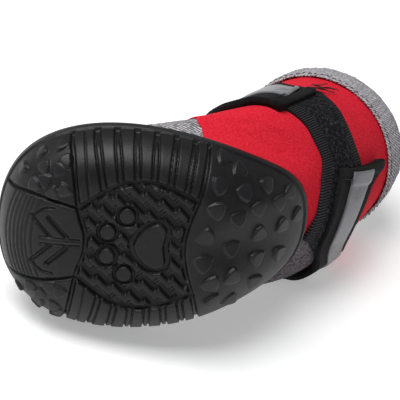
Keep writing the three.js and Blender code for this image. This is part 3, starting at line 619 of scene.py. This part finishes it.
# Insole: a thin dished foam sheet with a brushed face, die cut to the last and laid loose on the cup's
# floor. It is out of sight in the photograph, so its grey is a guess.
CLEARANCE = 0.35
INSOLE_THICKNESS = 2.0
INSOLE_SIDES = 120
INSOLE_CLIMBS = [0, 0.1, 0.22, 0.35, 0.44]
tuck_inset = SOLE_WALL + CLEARANCE
tuck_lift = SOLE_FLOOR + CLEARANCE
insole_turns = np.linspace(0, 2 * np.pi, INSOLE_SIDES, endpoint=False)
insole_rings = []
for climb, up in [(c, 0) for c in INSOLE_CLIMBS] + [(0.455, 0.5)] + [(c, 1) for c in INSOLE_CLIMBS[::-1]]:
    inset = tuck_inset + 0.1 + up * INSOLE_THICKNESS / 2
    lift = tuck_lift + up * INSOLE_THICKNESS
    insole_rings.append(sole_point(insole_turns, np.full(INSOLE_SIDES, climb), inset, lift))
insole_points = np.vstack([*insole_rings, [[0, 0, tuck_lift]], [[0, 0, tuck_lift + INSOLE_THICKNESS]]])
under_heart, top_heart = len(insole_points) - 2, len(insole_points) - 1
last_ring = (len(insole_rings) - 1) * INSOLE_SIDES
insole_faces = []
for low in range(0, last_ring, INSOLE_SIDES):
    high = low + INSOLE_SIDES
    for k in range(INSOLE_SIDES):
        nxt = (k + 1) % INSOLE_SIDES
        insole_faces.append((low + k, low + nxt, high + nxt, high + k))
for k in range(INSOLE_SIDES):
    nxt = (k + 1) % INSOLE_SIDES
    insole_faces.append((under_heart, nxt, k))
    insole_faces.append((top_heart, last_ring + k, last_ring + nxt))
foam = Finish("brushed_foam", Roughness=0.95)
foam.wear(
    Base_Color=foam.speckle(700, 6).within(0.3, 0.7).mixed(shade(52, 52, 56), shade(96, 95, 99)),
    Normal=foam.speckle(1500, 4).raised(0.0002, 0.6),
)
piece("insole_sheet", insole_points, insole_faces, foam, "insole")


# Upper: a knit vamp and quarter, lasted into the cup, with a red softshell panel sewn over it that makes
# the shaft. The cloth is cut flat and closed at the back, so it hangs slack, and it lies flat on the floor.
SHAFT_FRONT_HEIGHT = 101
SHAFT_BACK_HEIGHT = 77.2
COLLAR_WIDTH = 44.8
KNIT_WALL = 1.8
PANEL_STEP = 0.6
BAND_THICKNESS = 1.2
STRAP_THICKNESS = 1.5
TAPE_THICKNESS = 0.4
FLATTEN_EASE = 1.5
RISE_TURN = 22
TUCKS = [0.6, 0.8, 1]
UPPER_LEVELS = [
    (0.777, 0.055, -1.074, 0.091, 0.907, 0.0, 0.08, 0.010),
    (0.510, 0.114, -1.160, 0.189, 0.945, 0.0, 0.25, 0.040),
    (0.186, 0.190, -1.253, 0.287, 0.990, 0.0, 0.55, 0.065),
    (-0.151, 0.354, -1.357, 0.406, 0.800, 0.25, 0.85, 0.085),
    (-0.360, 0.577, -1.497, 0.593, 0.464, 0.60, 1.00, 0.089),
    (-0.557, 0.789, -1.633, 0.795, 0.172, 0.89, 1.00, 0.055),
    (-0.770, 1.000, -1.768, 1.000, 0.000, 1.00, 1.00, 0.000),
]
TOP_LEVEL = 7
PANEL_SEAM = [(-192, 0.45), (-171, 0.50), (-162, 1.20), (-152, 2.60), (-140, 3.75), (-126, 4.15),
              (-110, 4.25), (-80, 4.20), (-60, 4.05), (-30, 3.80), (0, 3.70), (50, 3.15), (75, 2.50),
              (94, 1.30), (104, 0.55), (120, 0.45), (168, 0.45), (192, 0.50)]
LOOP_BAND = [(84, 3.80, 5.45), (100, 3.74, 5.40), (121, 3.42, 5.06), (134, 3.03, 4.75), (148, 2.59, 4.55),
             (160, 1.85, 4.52), (172, 1.22, 4.30), (181, 1.00, 4.05), (194, 0.66, 3.75), (212, 0.90, 3.60)]
LEFT_STRAP = [(3, 4.15, 5.45), (40, 3.95, 5.50), (62, 3.65, 5.55), (70, 3.62, 5.50), (78, 3.80, 5.32),
              (86, 3.75, 5.14), (94, 3.64, 5.05), (101, 3.50, 5.04)]
RIGHT_STRAP = [(-204, 3.15, 5.20), (-196, 2.70, 5.25), (-184, 2.20, 4.75), (-169, 1.95, 4.28),
               (-158, 2.10, 4.12), (-151, 2.50, 4.20), (-140, 3.35, 4.65), (-128, 3.95, 5.00),
               (-110, 4.05, 5.25), (-90, 4.10, 5.35), (-45, 4.15, 5.42), (-3, 4.15, 5.45)]
BAND_HEM_SLANT = 24
RIGHT_HEM_SLANT = 8
STRAP_SEAT = 0.6
strap_layers = TAPE_THICKNESS + CLEARANCE + STRAP_THICKNESS
over_band = CLEARANCE + BAND_THICKNESS + CLEARANCE
downward = np.array(floor_down)


def table_curve(rows, column=1):
    table = np.array(rows, float)
    places, values = table[:, 0], table[:, column]
    slopes = np.gradient(values, places)
    slopes[1:-1] = (values[2:] - values[:-2]) / (places[2:] - places[:-2])

    def read(where):
        where = np.asarray(where, float)
        k = np.clip(np.searchsorted(places, where, side="right") - 1, 0, len(places) - 2)
        run = places[k + 1] - places[k]
        t = np.clip((where - places[k]) / run, 0, 1)
        r = 1 - t
        ends = values[k] * (1 + 2 * t) * r * r + values[k + 1] * (3 - 2 * t) * t * t
        return ends + run * t * r * (slopes[k] * r - slopes[k + 1] * t)

    return read


def signed(around):
    return (np.asarray(around, float) + 180) % 360 - 180


def over_band_share(around):
    past = np.where(around < 0, LOOP_BAND[-1][0] - 360 - around, around - LOOP_BAND[0][0])
    return smooth((past + RISE_TURN) / (0.75 * RISE_TURN))


def strap_lift(around):
    return CLEARANCE + (over_band - CLEARANCE) * over_band_share(around)


def strap_seat(around):
    """Height of a strap's underside, whose hooks are pressed into the band's pile."""
    return CLEARANCE + STRAP_SEAT * over_band_share(around)


def level_point(row, turn):
    front, front_up, back, back_up, width, collar, round_share, sag = row
    front_z = TOE_RISE + (SHAFT_FRONT_HEIGHT - TOE_RISE) * front_up
    back_z = HEEL_RISE + (SHAFT_BACK_HEIGHT - HEEL_RISE) * back_up
    side = (1 - round_share) * width_share(turn) + round_share * np.sin(turn)
    x = HALF_LENGTH * ((front + back) / 2 + (front - back) / 2 * np.cos(turn))
    y = (HALF_WIDTH * width + COLLAR_WIDTH / 2 * collar) * side - HALF_WIDTH * sag
    return np.stack([x, y, (front_z + back_z) / 2 + (front_z - back_z) / 2 * np.cos(turn)], -1)


def skin_point(around, level):
    """Level 0 is the sole's rim, negative levels lie in the cup and TOP_LEVEL is the collar's edge."""
    around, level = np.broadcast_arrays(np.asarray(around, float), np.asarray(level, float))
    turn = np.radians(around)
    rings = [sole_point(turn, np.full(turn.shape, climb), tuck_inset, tuck_lift) for climb in TUCKS]
    rings = np.stack(rings + [level_point(row, turn) for row in UPPER_LEVELS])
    rings = np.concatenate([2 * rings[:1] - rings[1:2], rings, 2 * rings[-1:] - rings[-2:-1]])
    spot = np.clip(level + 2, 0, 9)
    k = np.minimum(spot.astype(int), 8)
    t = (spot - k)[..., None]
    p0, p1, p2, p3 = (np.take_along_axis(rings, (k + j)[None, ..., None], 0)[0] for j in range(4))
    m1, m2 = (p2 - p0) / 2, (p3 - p1) / 2
    point = p1 + m1 * t + (3 * (p2 - p1) - 2 * m1 - m2) * t ** 2 + (2 * (p1 - p2) + m1 + m2) * t ** 3
    past = point @ downward - (LIES_AT[2] - strap_layers - strap_lift(signed(around)))
    eased = np.maximum(past + FLATTEN_EASE, 0) ** 2 / (4 * FLATTEN_EASE)
    return point - np.where(past > FLATTEN_EASE, past, eased)[..., None] * downward


def skin_frame(around, level):
    """Point, outward normal, and length in millimetres of one level, on the upper's skin."""
    low = np.minimum(level, TOP_LEVEL - 0.03)
    aside = skin_point(around + 1.2, low) - skin_point(around - 1.2, low)
    upward = (skin_point(around, low + 0.02) - skin_point(around, low - 0.02)) / 0.04
    normal = np.cross(aside, upward)
    normal /= np.linalg.norm(normal, axis=-1)[..., None]
    return skin_point(around, level), normal, upward


def on_skin(around, level, height):
    point, normal, _ = skin_frame(around, level)
    return point + normal * np.asarray(height)[..., None]


def pace(around, level):
    return np.linalg.norm(skin_frame(around, level)[2], axis=-1)


seam_level = table_curve(PANEL_SEAM)
SEAM_SIDE = -150
around_upper = np.linspace(SEAM_SIDE, SEAM_SIDE + 360, 421)


def covered(around, level):
    """1 where a strap or the loop band lies on the skin, easing to 0 a little outside it."""
    cover = np.zeros(np.broadcast(around, level).shape)
    for rows in (LOOP_BAND, LEFT_STRAP, RIGHT_STRAP):
        low, high = table_curve(rows, 1), table_curve(rows, 2)
        for whole in (-360, 0, 360):
            place = around + whole
            lies = smooth((place - rows[0][0]) / 3 + 1) * smooth((rows[-1][0] - place) / 3 + 1)
            edge = np.minimum(level - low(place), high(place) - level)
            cover = np.maximum(cover, lies * smooth(edge / 0.16 + 1))
    return cover


# Creases as soft troughs and ridges: around, level at both ends, half width and height in millimetres
CREASES = [
    (60, 2.0, -60, 2.1, 3.2, -0.9), (48, 2.75, -40, 2.9, 2.6, -0.8), (40, 2.4, -35, 2.5, 2.4, 0.45),
    (118, 1.4, 150, 0.9, 3.4, -0.75), (150, 1.3, 178, 0.8, 2.6, -0.5), (104, 2.2, 128, 2.9, 3.2, 0.40),
    (128, 0.7, 158, 1.7, 3.0, 0.35), (92, 1.7, 112, 2.5, 2.6, -0.45), (70, 3.2, 96, 2.6, 2.6, -0.55),
    (112, 5.55, 150, 5.3, 2.2, -0.40), (60, 5.75, 100, 5.7, 2.0, 0.30), (150, 4.95, 200, 4.6, 2.4, -0.45),
    (165, 5.3, 190, 5.9, 2.2, 0.35), (-60, 3.1, -110, 2.5, 3.0, -0.8), (-100, 1.5, -140, 1.2, 3.0, -0.6),
    (-20, 5.8, 20, 5.75, 2.0, -0.4), (-50, 6.0, -90, 5.6, 2.0, -0.35), (20, 1.2, -25, 1.25, 3.0, -0.4),
]
MM_PER_DEGREE = 0.44
MM_PER_LEVEL = 13.0
CREASE_DEPTH = 0.55


def creased(around, level):
    place = np.stack(np.broadcast_arrays(signed(around) * MM_PER_DEGREE, level * MM_PER_LEVEL), -1)
    flat = place.reshape(-1, 2)
    height = np.zeros(len(flat))
    for a0, l0, a1, l1, half, tall in CREASES:
        line = rounded([(a0 * MM_PER_DEGREE, l0 * MM_PER_LEVEL),
                        ((a0 + a1) / 2 * MM_PER_DEGREE, ((l0 + l1) / 2 + 0.12) * MM_PER_LEVEL),
                        (a1 * MM_PER_DEGREE, l1 * MM_PER_LEVEL)], 4)
        away, along = to_line(flat, line)
        fade = np.sin(np.pi * np.clip(along, 0.02, 0.98)) ** 0.7
        height += CREASE_DEPTH * tall * np.exp(-(away / half) ** 2) * fade
    for fa, fl, phase, tall in ((0.11, 0.07, 1.0, 0.05), (0.05, 0.13, 2.1, 0.05), (0.19, 0.03, 4.0, 0.03)):
        up_wave = np.sin(flat[:, 1] * fl * 3 + phase * 2 + flat[:, 0] * 0.05)
        height += tall * np.sin(flat[:, 0] * fa * 2 + phase) * up_wave
    height = height.reshape(place.shape[:-1])
    cover = covered(around, level)
    return np.where(height > 0, height * (1 - cover), height * (1 - 0.7 * cover))


def net_faces(rows, columns, closed=False):
    """Quads of a net of rows by columns, its rows joined last to first where it is closed."""
    ids = np.arange(rows * columns).reshape(rows, columns)
    upper_ids = np.roll(ids, -1, 0) if closed else ids[1:]
    lower_ids = ids if closed else ids[:-1]
    corners = [lower_ids[:, :-1], lower_ids[:, 1:], upper_ids[:, 1:], upper_ids[:, :-1]]
    return np.stack(corners, -1).reshape(-1, 4)


def cloth_places(points, around):
    """Millimetres round the leg and up the leg, for weaves, at a net of points."""
    steps = np.linalg.norm(np.diff(points, axis=0), axis=-1)
    up = np.concatenate([np.zeros((1, points.shape[1])), steps.cumsum(0)])
    return np.stack([np.broadcast_to(around * MM_PER_DEGREE, up.shape), up], -1)


def cloth_piece(name, net, around, finish, node, values=None):
    """A finished piece from a net of points whose columns go round the leg."""
    piece(name, net.reshape(-1, 3), net_faces(*net.shape[:2]), finish, node,
          cloth_places(net, around).reshape(-1, 2), values)


seam_here = seam_level(signed(around_upper))
knit_levels = np.array([-0.6, -0.3, 0.0])[:, None] + 0 * seam_here
knit_levels = np.vstack([knit_levels, np.linspace(0, 1, 56)[1:, None] * (seam_here + 0.25)])
knit_skin = on_skin(around_upper, knit_levels, creased(around_upper, knit_levels) - PANEL_STEP)
knit_skin[:2] = on_skin(around_upper, knit_levels[:2], np.zeros((2, len(around_upper))) - 0.05)
knit = Finish("grey_knit", Roughness=0.92)
aside, up = knit.cloth()
wander = knit.speckle(140, 3) * 3.4
cords = ((aside * 0.9 + up * 1.25 + wander) * 4.6).wave()
yarns = ((up * 1.6 - aside * 2.4 + wander) * 6.2).wave()
cord_height = (cords * 0.7 + yarns * 0.3).within(-0.95, 0.55)
flecks = knit.speckle(1500, 3).within(0.36, 0.62)
# Low on the knit's right side, a stored mask swaps in a striped pattern and darker copies of the knit's
# colours; the darkness there is painted shade
stretch_and_painted_shade = knit.stored("stretch_and_painted_shade")
stripes = ((aside + up * 0.25 + wander * 0.05) * 8.5).wave().within(-0.5, 0.8)
fabric = cord_height * (1 - stretch_and_painted_shade) + stripes * stretch_and_painted_shade
slack_pale = flecks.mixed(shade(150, 147, 151), shade(228, 225, 229))
painted_shade_pale = flecks.mixed(shade(92, 80, 87), shade(176, 164, 170))
pale = stretch_and_painted_shade.mixed(slack_pale, painted_shade_pale)
gaps = stretch_and_painted_shade.mixed(shade(58, 53, 58), shade(14, 9, 12))
knit.wear(
    Base_Color=fabric.mixed(gaps, pale),
    Normal=(fabric + knit.speckle(2500, 2) * 0.5).raised(0.0004, 0.8),
)
# Share of each column in the striped, painted-shade side of the knit: low on the right, from about 190 to 255
# degrees round
stretch_and_shade_share = smooth((SEAM_SIDE + 360 + 45 - around_upper % 360) / 12) * smooth((around_upper % 360 - 190) / 8)
cloth_piece("knit_vamp", knit_skin, around_upper, knit, "upper",
            {"stretch_and_painted_shade": np.broadcast_to(stretch_and_shade_share, knit_skin.shape[:2]).ravel()})

panel_pace = pace(around_upper, seam_here)
edge_turn = [(3.0, -0.55), (1.0, -0.55), (0.35, -0.50), (0.05, -0.36), (0.0, -0.2), (0.12, -0.05), (0.4, 0.0)]
panel_levels = np.stack([seam_here + off / panel_pace for off, _ in edge_turn])
panel_top = TOP_LEVEL - 2.5 / pace(around_upper, np.full(len(around_upper), 6.8))
panel_rise = np.linspace(0, 1, 120)[1:, None] * (panel_top - panel_levels[-1])
panel_levels = np.vstack([panel_levels, panel_levels[-1] + panel_rise])
panel_heights = np.zeros(panel_levels.shape)
panel_heights[:len(edge_turn)] = np.array([h for _, h in edge_turn])[:, None]
panel_skin = on_skin(around_upper, panel_levels, panel_heights + creased(around_upper, panel_levels))
softshell = Finish("red_softshell", Roughness=0.9, Specular_IOR_Level=0.12)
aside, up = softshell.cloth()
weave = (aside * 17.0).wave() * (up * 17.0).wave()
grain = softshell.speckle(2200, 3)
cloudy = softshell.speckle(40, 3).within(0.3, 0.7)
pile = softshell.speckle(1900, 3, roughness=0.7).within(0.36, 0.64)
red = pile.mixed(cloudy.mixed(shade(200, 20, 38), shade(206, 26, 44)), shade(226, 44, 62))
softshell.wear(
    Base_Color=(grain.within(0.66, 0.80) * 0.6).mixed(red, shade(236, 84, 96)),
    Normal=(weave * 0.3 + grain * 0.8 + softshell.speckle(700, 4) * 0.6).raised(0.00012, 0.55),
)
cloth_piece("softshell_panel", panel_skin, around_upper, softshell, "upper")

around_lining = around_upper[::2]
lining_levels = np.linspace(6.85, -0.8, 60)[:, None] + 0 * around_lining
lining_heights = -KNIT_WALL - PANEL_STEP + 0.5 * creased(around_lining, lining_levels)
lining_skin = on_skin(around_lining, lining_levels, lining_heights)
lining = Finish("black_lining", Roughness=0.95)
lining.wear(
    Base_Color=lining.speckle(900, 4).within(0.3, 0.7).mixed(shade(28, 28, 31), shade(62, 61, 65)),
    Normal=lining.speckle(1800, 3).raised(0.0002, 0.7),
)
cloth_piece("shaft_lining", lining_skin, around_lining, lining, "upper")


# Collar binding: a strip of grey melange knit, about 25 mm wide, folded over the cut edge of the collar and
# sewn through with dark thread close to its outer edge.
around_binding = np.linspace(SEAM_SIDE, SEAM_SIDE + 360, 901)
BINDING_PROFILE = [(9.9, 0.45), (10.2, 0.75), (10.05, 1.05), (9.6, 1.22), (8.8, 1.28), (7.4, 1.34),
                   (6.0, 1.42), (4.6, 1.45), (3.2, 1.42), (2.0, 1.36), (1.0, 1.22), (0.3, 0.98),
                   (-0.2, 0.55), (-0.45, 0.0), (-0.6, -0.7), (-0.62, -1.4), (-0.5, -2.1), (-0.2, -2.75),
                   (0.4, -3.2), (1.2, -3.45), (2.4, -3.6), (4.4, -3.68), (6.8, -3.68), (8.8, -3.6),
                   (9.6, -3.45), (9.9, -3.1), (9.7, -2.8)]
top_level = np.full(len(around_binding), TOP_LEVEL - 0.001)
top_point, top_normal, top_up = skin_frame(around_binding, top_level)
top_pace = np.linalg.norm(top_up, axis=-1)
binding_rows = []
for down, out in BINDING_PROFILE:
    ripple = 0.16 * np.sin(around_binding * 0.31) + 0.12 * np.sin(around_binding * 0.83 + 1)
    rib = 0.10 * np.sin((around_binding * MM_PER_DEGREE * 0.92 + down * 0.8) * 2 * np.pi / 1.32)
    puff = (rib + ripple * 0.6) * (1 if out > 0 else -1) * (1 if down > 0.3 else 0.3)
    if down > 0:
        level = TOP_LEVEL - (down + ripple * (down > 9)) / top_pace
        binding_rows.append(on_skin(around_binding, level, out + puff))
    else:
        rolled = top_normal * (out + puff)[:, None]
        binding_rows.append(top_point + rolled - top_up / top_pace[:, None] * down)
binding_skin = np.stack(binding_rows)
melange = Finish("melange_knit", Roughness=0.95)
aside, up = melange.cloth()
wander = melange.speckle(200, 3) * 1.3
ribs = ((aside * 0.92 - up * 0.8 + wander) * 6.6).wave()
loops = ((aside * 1.5 + up * 2.2 + wander) * 6.0).wave()
yarn = melange.speckle(1700, 3).within(0.36, 0.64)
rib_height = (ribs * 0.36 + loops * 0.2 + 0.5).within(0.0, 0.9)
melange.wear(
    Base_Color=rib_height.mixed(yarn.mixed(shade(92, 88, 93), shade(146, 142, 147)),
                                yarn.mixed(shade(178, 175, 179), shade(228, 225, 229))),
    Normal=(rib_height + yarn * 0.3).raised(0.0003, 0.8),
)
cloth_piece("binding_knit", binding_skin, around_binding, melange, "collar_binding")


def tubes(lines, radius, sides=5):
    """Points and faces of thin round threads along lines of points."""
    points, faces = [], []
    for line in lines:
        line = np.asarray(line, float)
        base = len(points)
        ahead = np.gradient(line, axis=0)
        ahead /= np.linalg.norm(ahead, axis=1)[:, None]
        across_line = np.cross(ahead, (0.31, 0.52, 0.79))
        across_line /= np.linalg.norm(across_line, axis=1)[:, None]
        third = np.cross(ahead, across_line)
        taper = np.sin(np.linspace(0.35, np.pi - 0.35, len(line)))
        for p, u, v, thin in zip(line, across_line, third, taper):
            for k in range(sides):
                angle = 2 * np.pi * k / sides
                points.append(p + radius * thin ** 0.4 * (u * np.cos(angle) + v * np.sin(angle)))
        for r in range(len(line) - 1):
            for k in range(sides):
                nxt = (k + 1) % sides
                low, high = base + r * sides, base + (r + 1) * sides
                faces.append((low + k, low + nxt, high + nxt, high + k))
        faces.append(tuple(base + k for k in range(sides))[::-1])
        faces.append(tuple(base + (len(line) - 1) * sides + k for k in range(sides)))
    return np.array(points), faces


thread = Finish("black_thread", Roughness=0.7)
thread.wear(
    Base_Color=thread.speckle(1500, 2).within(0.3, 0.7).mixed(shade(14, 14, 15), shade(40, 39, 42)),
    Normal=thread.speckle(4000, 2).raised(0.0001, 0.5),
)
STITCH_PITCH = 4.6
by_place = np.argsort(around_binding % 360)
stitch_lines = []
for start in np.arange(0, 360, STITCH_PITCH):
    places = start + np.linspace(0.4, STITCH_PITCH - 0.7, 5)
    sink = np.array([-0.25, 0.10, 0.16, 0.10, -0.25])
    pace_here = np.interp(places % 360, (around_binding % 360)[by_place], top_pace[by_place])
    level = TOP_LEVEL - (9.55 + 0.2 * np.sin(start)) / pace_here
    stitch_lines.append(on_skin(places, level, 1.32 + sink))
stitch_points, stitch_faces = tubes(stitch_lines, 0.12)
piece("binding_stitches", stitch_points, stitch_faces, thread, "collar_binding")


# Loop band: black loop webbing sewn round the back of the shaft, brushed loops in its middle and a woven
# ribbed selvedge on each side. Both straps close on it.
WEBBING_WIDTH = 25.0
BACK_SINK = 0.25


def strip(rows, start, end, columns, profile, lift, hem_slant=0.0, end_slant=0.0,
          share_low=0.0, share_high=1.0, swell=None):
    """Net of a strap's skin: its rows go round the strap's section, its columns run along it."""
    low, high = table_curve(rows, 1), table_curve(rows, 2)
    run = np.linspace(0, 1, columns)
    points, places = [], []
    for share, height in profile:
        inner = share_low + (share_high - share_low) * share
        around = start + (end - start) * run + hem_slant * (1 - run) * inner - end_slant * run * (1 - inner)
        level = low(around) * (1 - inner) + high(around) * inner
        more = 0 if swell is None else swell(run, share, height)
        rise = lift(signed(around) if start > 0 else around)
        points.append(on_skin(around, level, rise + height + more if height > 0.1 else 0 * rise - BACK_SINK))
        places.append(np.stack([around * MM_PER_DEGREE, np.full(columns, inner * WEBBING_WIDTH)], -1))
    return np.stack(points), np.stack(places)


def strip_faces(rows, columns):
    faces = [tuple(f[::-1]) for f in net_faces(rows, columns, closed=True)]
    half = rows // 2
    for k in range(half):
        a, b, c, d = k, k + 1, rows - 2 - k, rows - 1 - k
        if b >= c:
            break
        faces.append(tuple(i * columns for i in (a, b, c, d)))
        faces.append(tuple(i * columns + columns - 1 for i in (d, c, b, a)))
    return faces


def strip_piece(name, net_and_places, finish, node):
    net, places = net_and_places
    piece(name, net.reshape(-1, 3), strip_faces(*net.shape[:2]), finish, node, places.reshape(-1, 2))


def section(thickness, top_rows, edge=0.012):
    """Section of a flat webbing: rounded edges, many rows on its face and a few on its back."""
    rounding = [(0.0, 0.30), (0.001, 0.55), (edge * 0.35, 0.82), (edge, 1.0)]
    face = [(share, thickness * part) for share, part in rounding]
    face += [(edge + (1 - 2 * edge) * k / top_rows, thickness) for k in range(1, top_rows)]
    face += [(1 - share, thickness * part) for share, part in rounding[::-1]]
    back = [(1 - (k + 0.5) / len(face), 0.02) for k in range(len(face))]
    return face + back


LOOP_SELVEDGE = 0.2


def loop_swell(run, share, height):
    if height < 0.3:
        return 0
    pile = smooth((share - LOOP_SELVEDGE) / 0.05) * smooth((1 - LOOP_SELVEDGE * 0.6 - share) / 0.05)
    ribs_of_edge = 0.05 * np.sin(run * 2 * np.pi * 100) * (1 - pile)
    return ribs_of_edge + pile * (0.12 + rng.uniform(-0.14, 0.14, len(run)))


band_strip = strip(LOOP_BAND, 84, 220, 360, section(1.0, 56), lambda a: CLEARANCE * 0.6 + 0 * a,
                   end_slant=BAND_HEM_SLANT, swell=loop_swell)
loop_pile = Finish("black_loop_pile", Roughness=0.85, Specular_IOR_Level=0.25)
aside, up = loop_pile.cloth()
middle_part = up.within(5.2, 5.9) * (22.4 - up).within(0.2, 0.9)
fuzz = loop_pile.speckle(1050, 4, roughness=0.75).within(0.44, 0.66)
edge_ribs = (aside * 8.5).wave().within(-0.6, 0.8)
pattern = middle_part * fuzz + (1 - middle_part) * edge_ribs
loop_pile.wear(
    Base_Color=pattern.mixed(shade(5, 5, 6), middle_part.mixed(shade(56, 56, 60), shade(78, 78, 83))),
    Normal=pattern.raised(0.00045, 1.0),
)
strip_piece("loop_band_web", band_strip, loop_pile, "loop_band")


# Straps: black hook webbing, 25 mm wide, sewn at the front of the shaft and closed round each side. The
# free end is folded under and hemmed, and loose threads stand out at the left strap's end.
def hem_swell(at_start, length, tall):
    def swell(run, share, height):
        if height < 0.3:
            return 0 * run
        near = run if at_start else 1 - run
        fold = tall * smooth((length - near) / (0.25 * length)) * smooth(near / (0.2 * length) + 0.3)
        wave = 0.10 * np.sin(run * 23 + share * 4) + 0.07 * np.sin(run * 51 + share * 9)
        border = 0.16 * smooth((0.14 - min(share, 1 - share)) / 0.08)
        return fold + wave * 0.6 + border + rng.uniform(-0.035, 0.035, len(run))
    return swell


webbing = Finish("black_hook_webbing", Roughness=0.75, Specular_IOR_Level=0.25)
aside, up = webbing.cloth()
warp = (up * 9.0).wave()
weft = (aside * 12.0).wave()
woven = (warp * weft * 0.5 + 0.5).within(0.15, 0.85)
lint = webbing.speckle(1300, 4).within(0.55, 0.72)
webbing.wear(
    Base_Color=(lint * 0.5).mixed(woven.mixed(shade(5, 5, 6), shade(17, 17, 19)), shade(46, 45, 48)),
    Normal=(woven * 0.8 + webbing.speckle(2400, 3)).raised(0.00025, 0.9),
)
left_strip = strip(LEFT_STRAP, 3, 103, 260, section(STRAP_THICKNESS, 30), strap_seat,
                   swell=hem_swell(False, 0.075, 0.7))
strip_piece("strap_left_web", left_strip, webbing, "strap_left")
FLAP = [(-204, 3.10, 5.30), (-199, 2.85, 5.52), (-192, 2.52, 5.50), (-187, 2.32, 4.98)]
right_strip = strip(FLAP + RIGHT_STRAP[2:], -204, -3, 420, section(STRAP_THICKNESS, 30), strap_seat,
                    hem_slant=RIGHT_HEM_SLANT, swell=hem_swell(True, 0.035, 0.45))
strip_piece("strap_right_web", right_strip, webbing, "strap_right")
fray = []
for start, start_level, end, end_level, bow in (
        (96, 5.30, 109.5, 5.84, 0.05), (96, 5.25, 108.5, 5.72, -0.05), (97, 5.10, 107.0, 5.80, 0.10),
        (96, 5.30, 100.0, 5.95, 0.04), (97, 5.20, 103.0, 5.62, -0.08), (98, 4.95, 104.5, 5.35, 0.05)):
    run = np.linspace(0, 1, 14)
    level = start_level + (end_level - start_level) * run + bow * np.sin(run * np.pi)
    height = 2.5 - 1.3 * run + 0.25 * np.sin(run * 7 + bow * 30)
    fray.append(on_skin(start + (end - start) * run, level, height))
fray_points, fray_faces = tubes(fray, 0.17)
piece("loose_threads", fray_points, fray_faces, thread, None)
hem_stitches = []
for rows, place, slant in ((LEFT_STRAP, 95.5, -3), (RIGHT_STRAP, -197.5, RIGHT_HEM_SLANT)):
    low, high = table_curve(rows, 1), table_curve(rows, 2)
    for k in range(13):
        share = 0.06 + 0.88 * (k + np.array([0.0, 0.25, 0.5, 0.72])) / 13
        around = place + slant * share
        level = low(around) * (1 - share) + high(around) * share
        rise = strap_seat(around) + STRAP_THICKNESS + TAPE_THICKNESS + np.array([0.1, 0.42, 0.42, 0.1])
        hem_stitches.append(on_skin(around, level, rise))
hem_points, hem_faces = tubes(hem_stitches, 0.16)
piece("hem_stitches", hem_points, hem_faces, thread, None)


# Reflective tape: grey glass-bead tape, 12 mm wide, sewn down the middle of each strap and folded over at
# the free end, where the fold shows as a paler roll.
def fold_swell(at_start):
    def swell(run, share, height):
        if height < 0.1:
            return 0 * run
        near = run if at_start else 1 - run
        roll = 0.55 * smooth((0.045 - near) / 0.012) * smooth(near / 0.01 + 0.4)
        return roll + 0.03 * np.sin(run * 37 + share * 3)
    return swell


tape = Finish("grey_reflective_tape", Roughness=0.42, Metallic=0.25)
aside, up = tape.cloth()
beads = tape.speckle(5200, 2)
lines_across = (aside * 9.0).wave()
worn = tape.speckle(110, 5).within(0.45, 0.75)
beaded = beads.within(0.35, 0.65).mixed(shade(108, 108, 112), shade(136, 136, 141))
tape.wear(
    Base_Color=(worn * 0.5).mixed(beaded, shade(92, 91, 95)),
    Roughness=0.36 + 0.2 * worn,
    Normal=(beads + lines_across * 0.12).raised(0.00006, 0.5),
)
TAPE_GAP = 0.12
TAPE_LOW = 0.34
TAPE_HIGH = 0.84


def tape_lift(around):
    return strap_seat(around) + STRAP_THICKNESS + TAPE_GAP


for name, rows, start, end, slants, at_start, node, columns in (
        ("tape_left_strip", LEFT_STRAP, 20, 94, (0, -5), False, "reflective_tape_left", 150),
        ("tape_right_strip", RIGHT_STRAP, -202, -20, (RIGHT_HEM_SLANT, 0), True,
         "reflective_tape_right", 300)):
    tape_strip = strip(rows, start, end, columns, section(TAPE_THICKNESS, 12, 0.03), tape_lift, *slants,
                       share_low=TAPE_LOW, share_high=TAPE_HIGH, swell=fold_swell(at_start))
    strip_piece(name, tape_strip, tape, node)
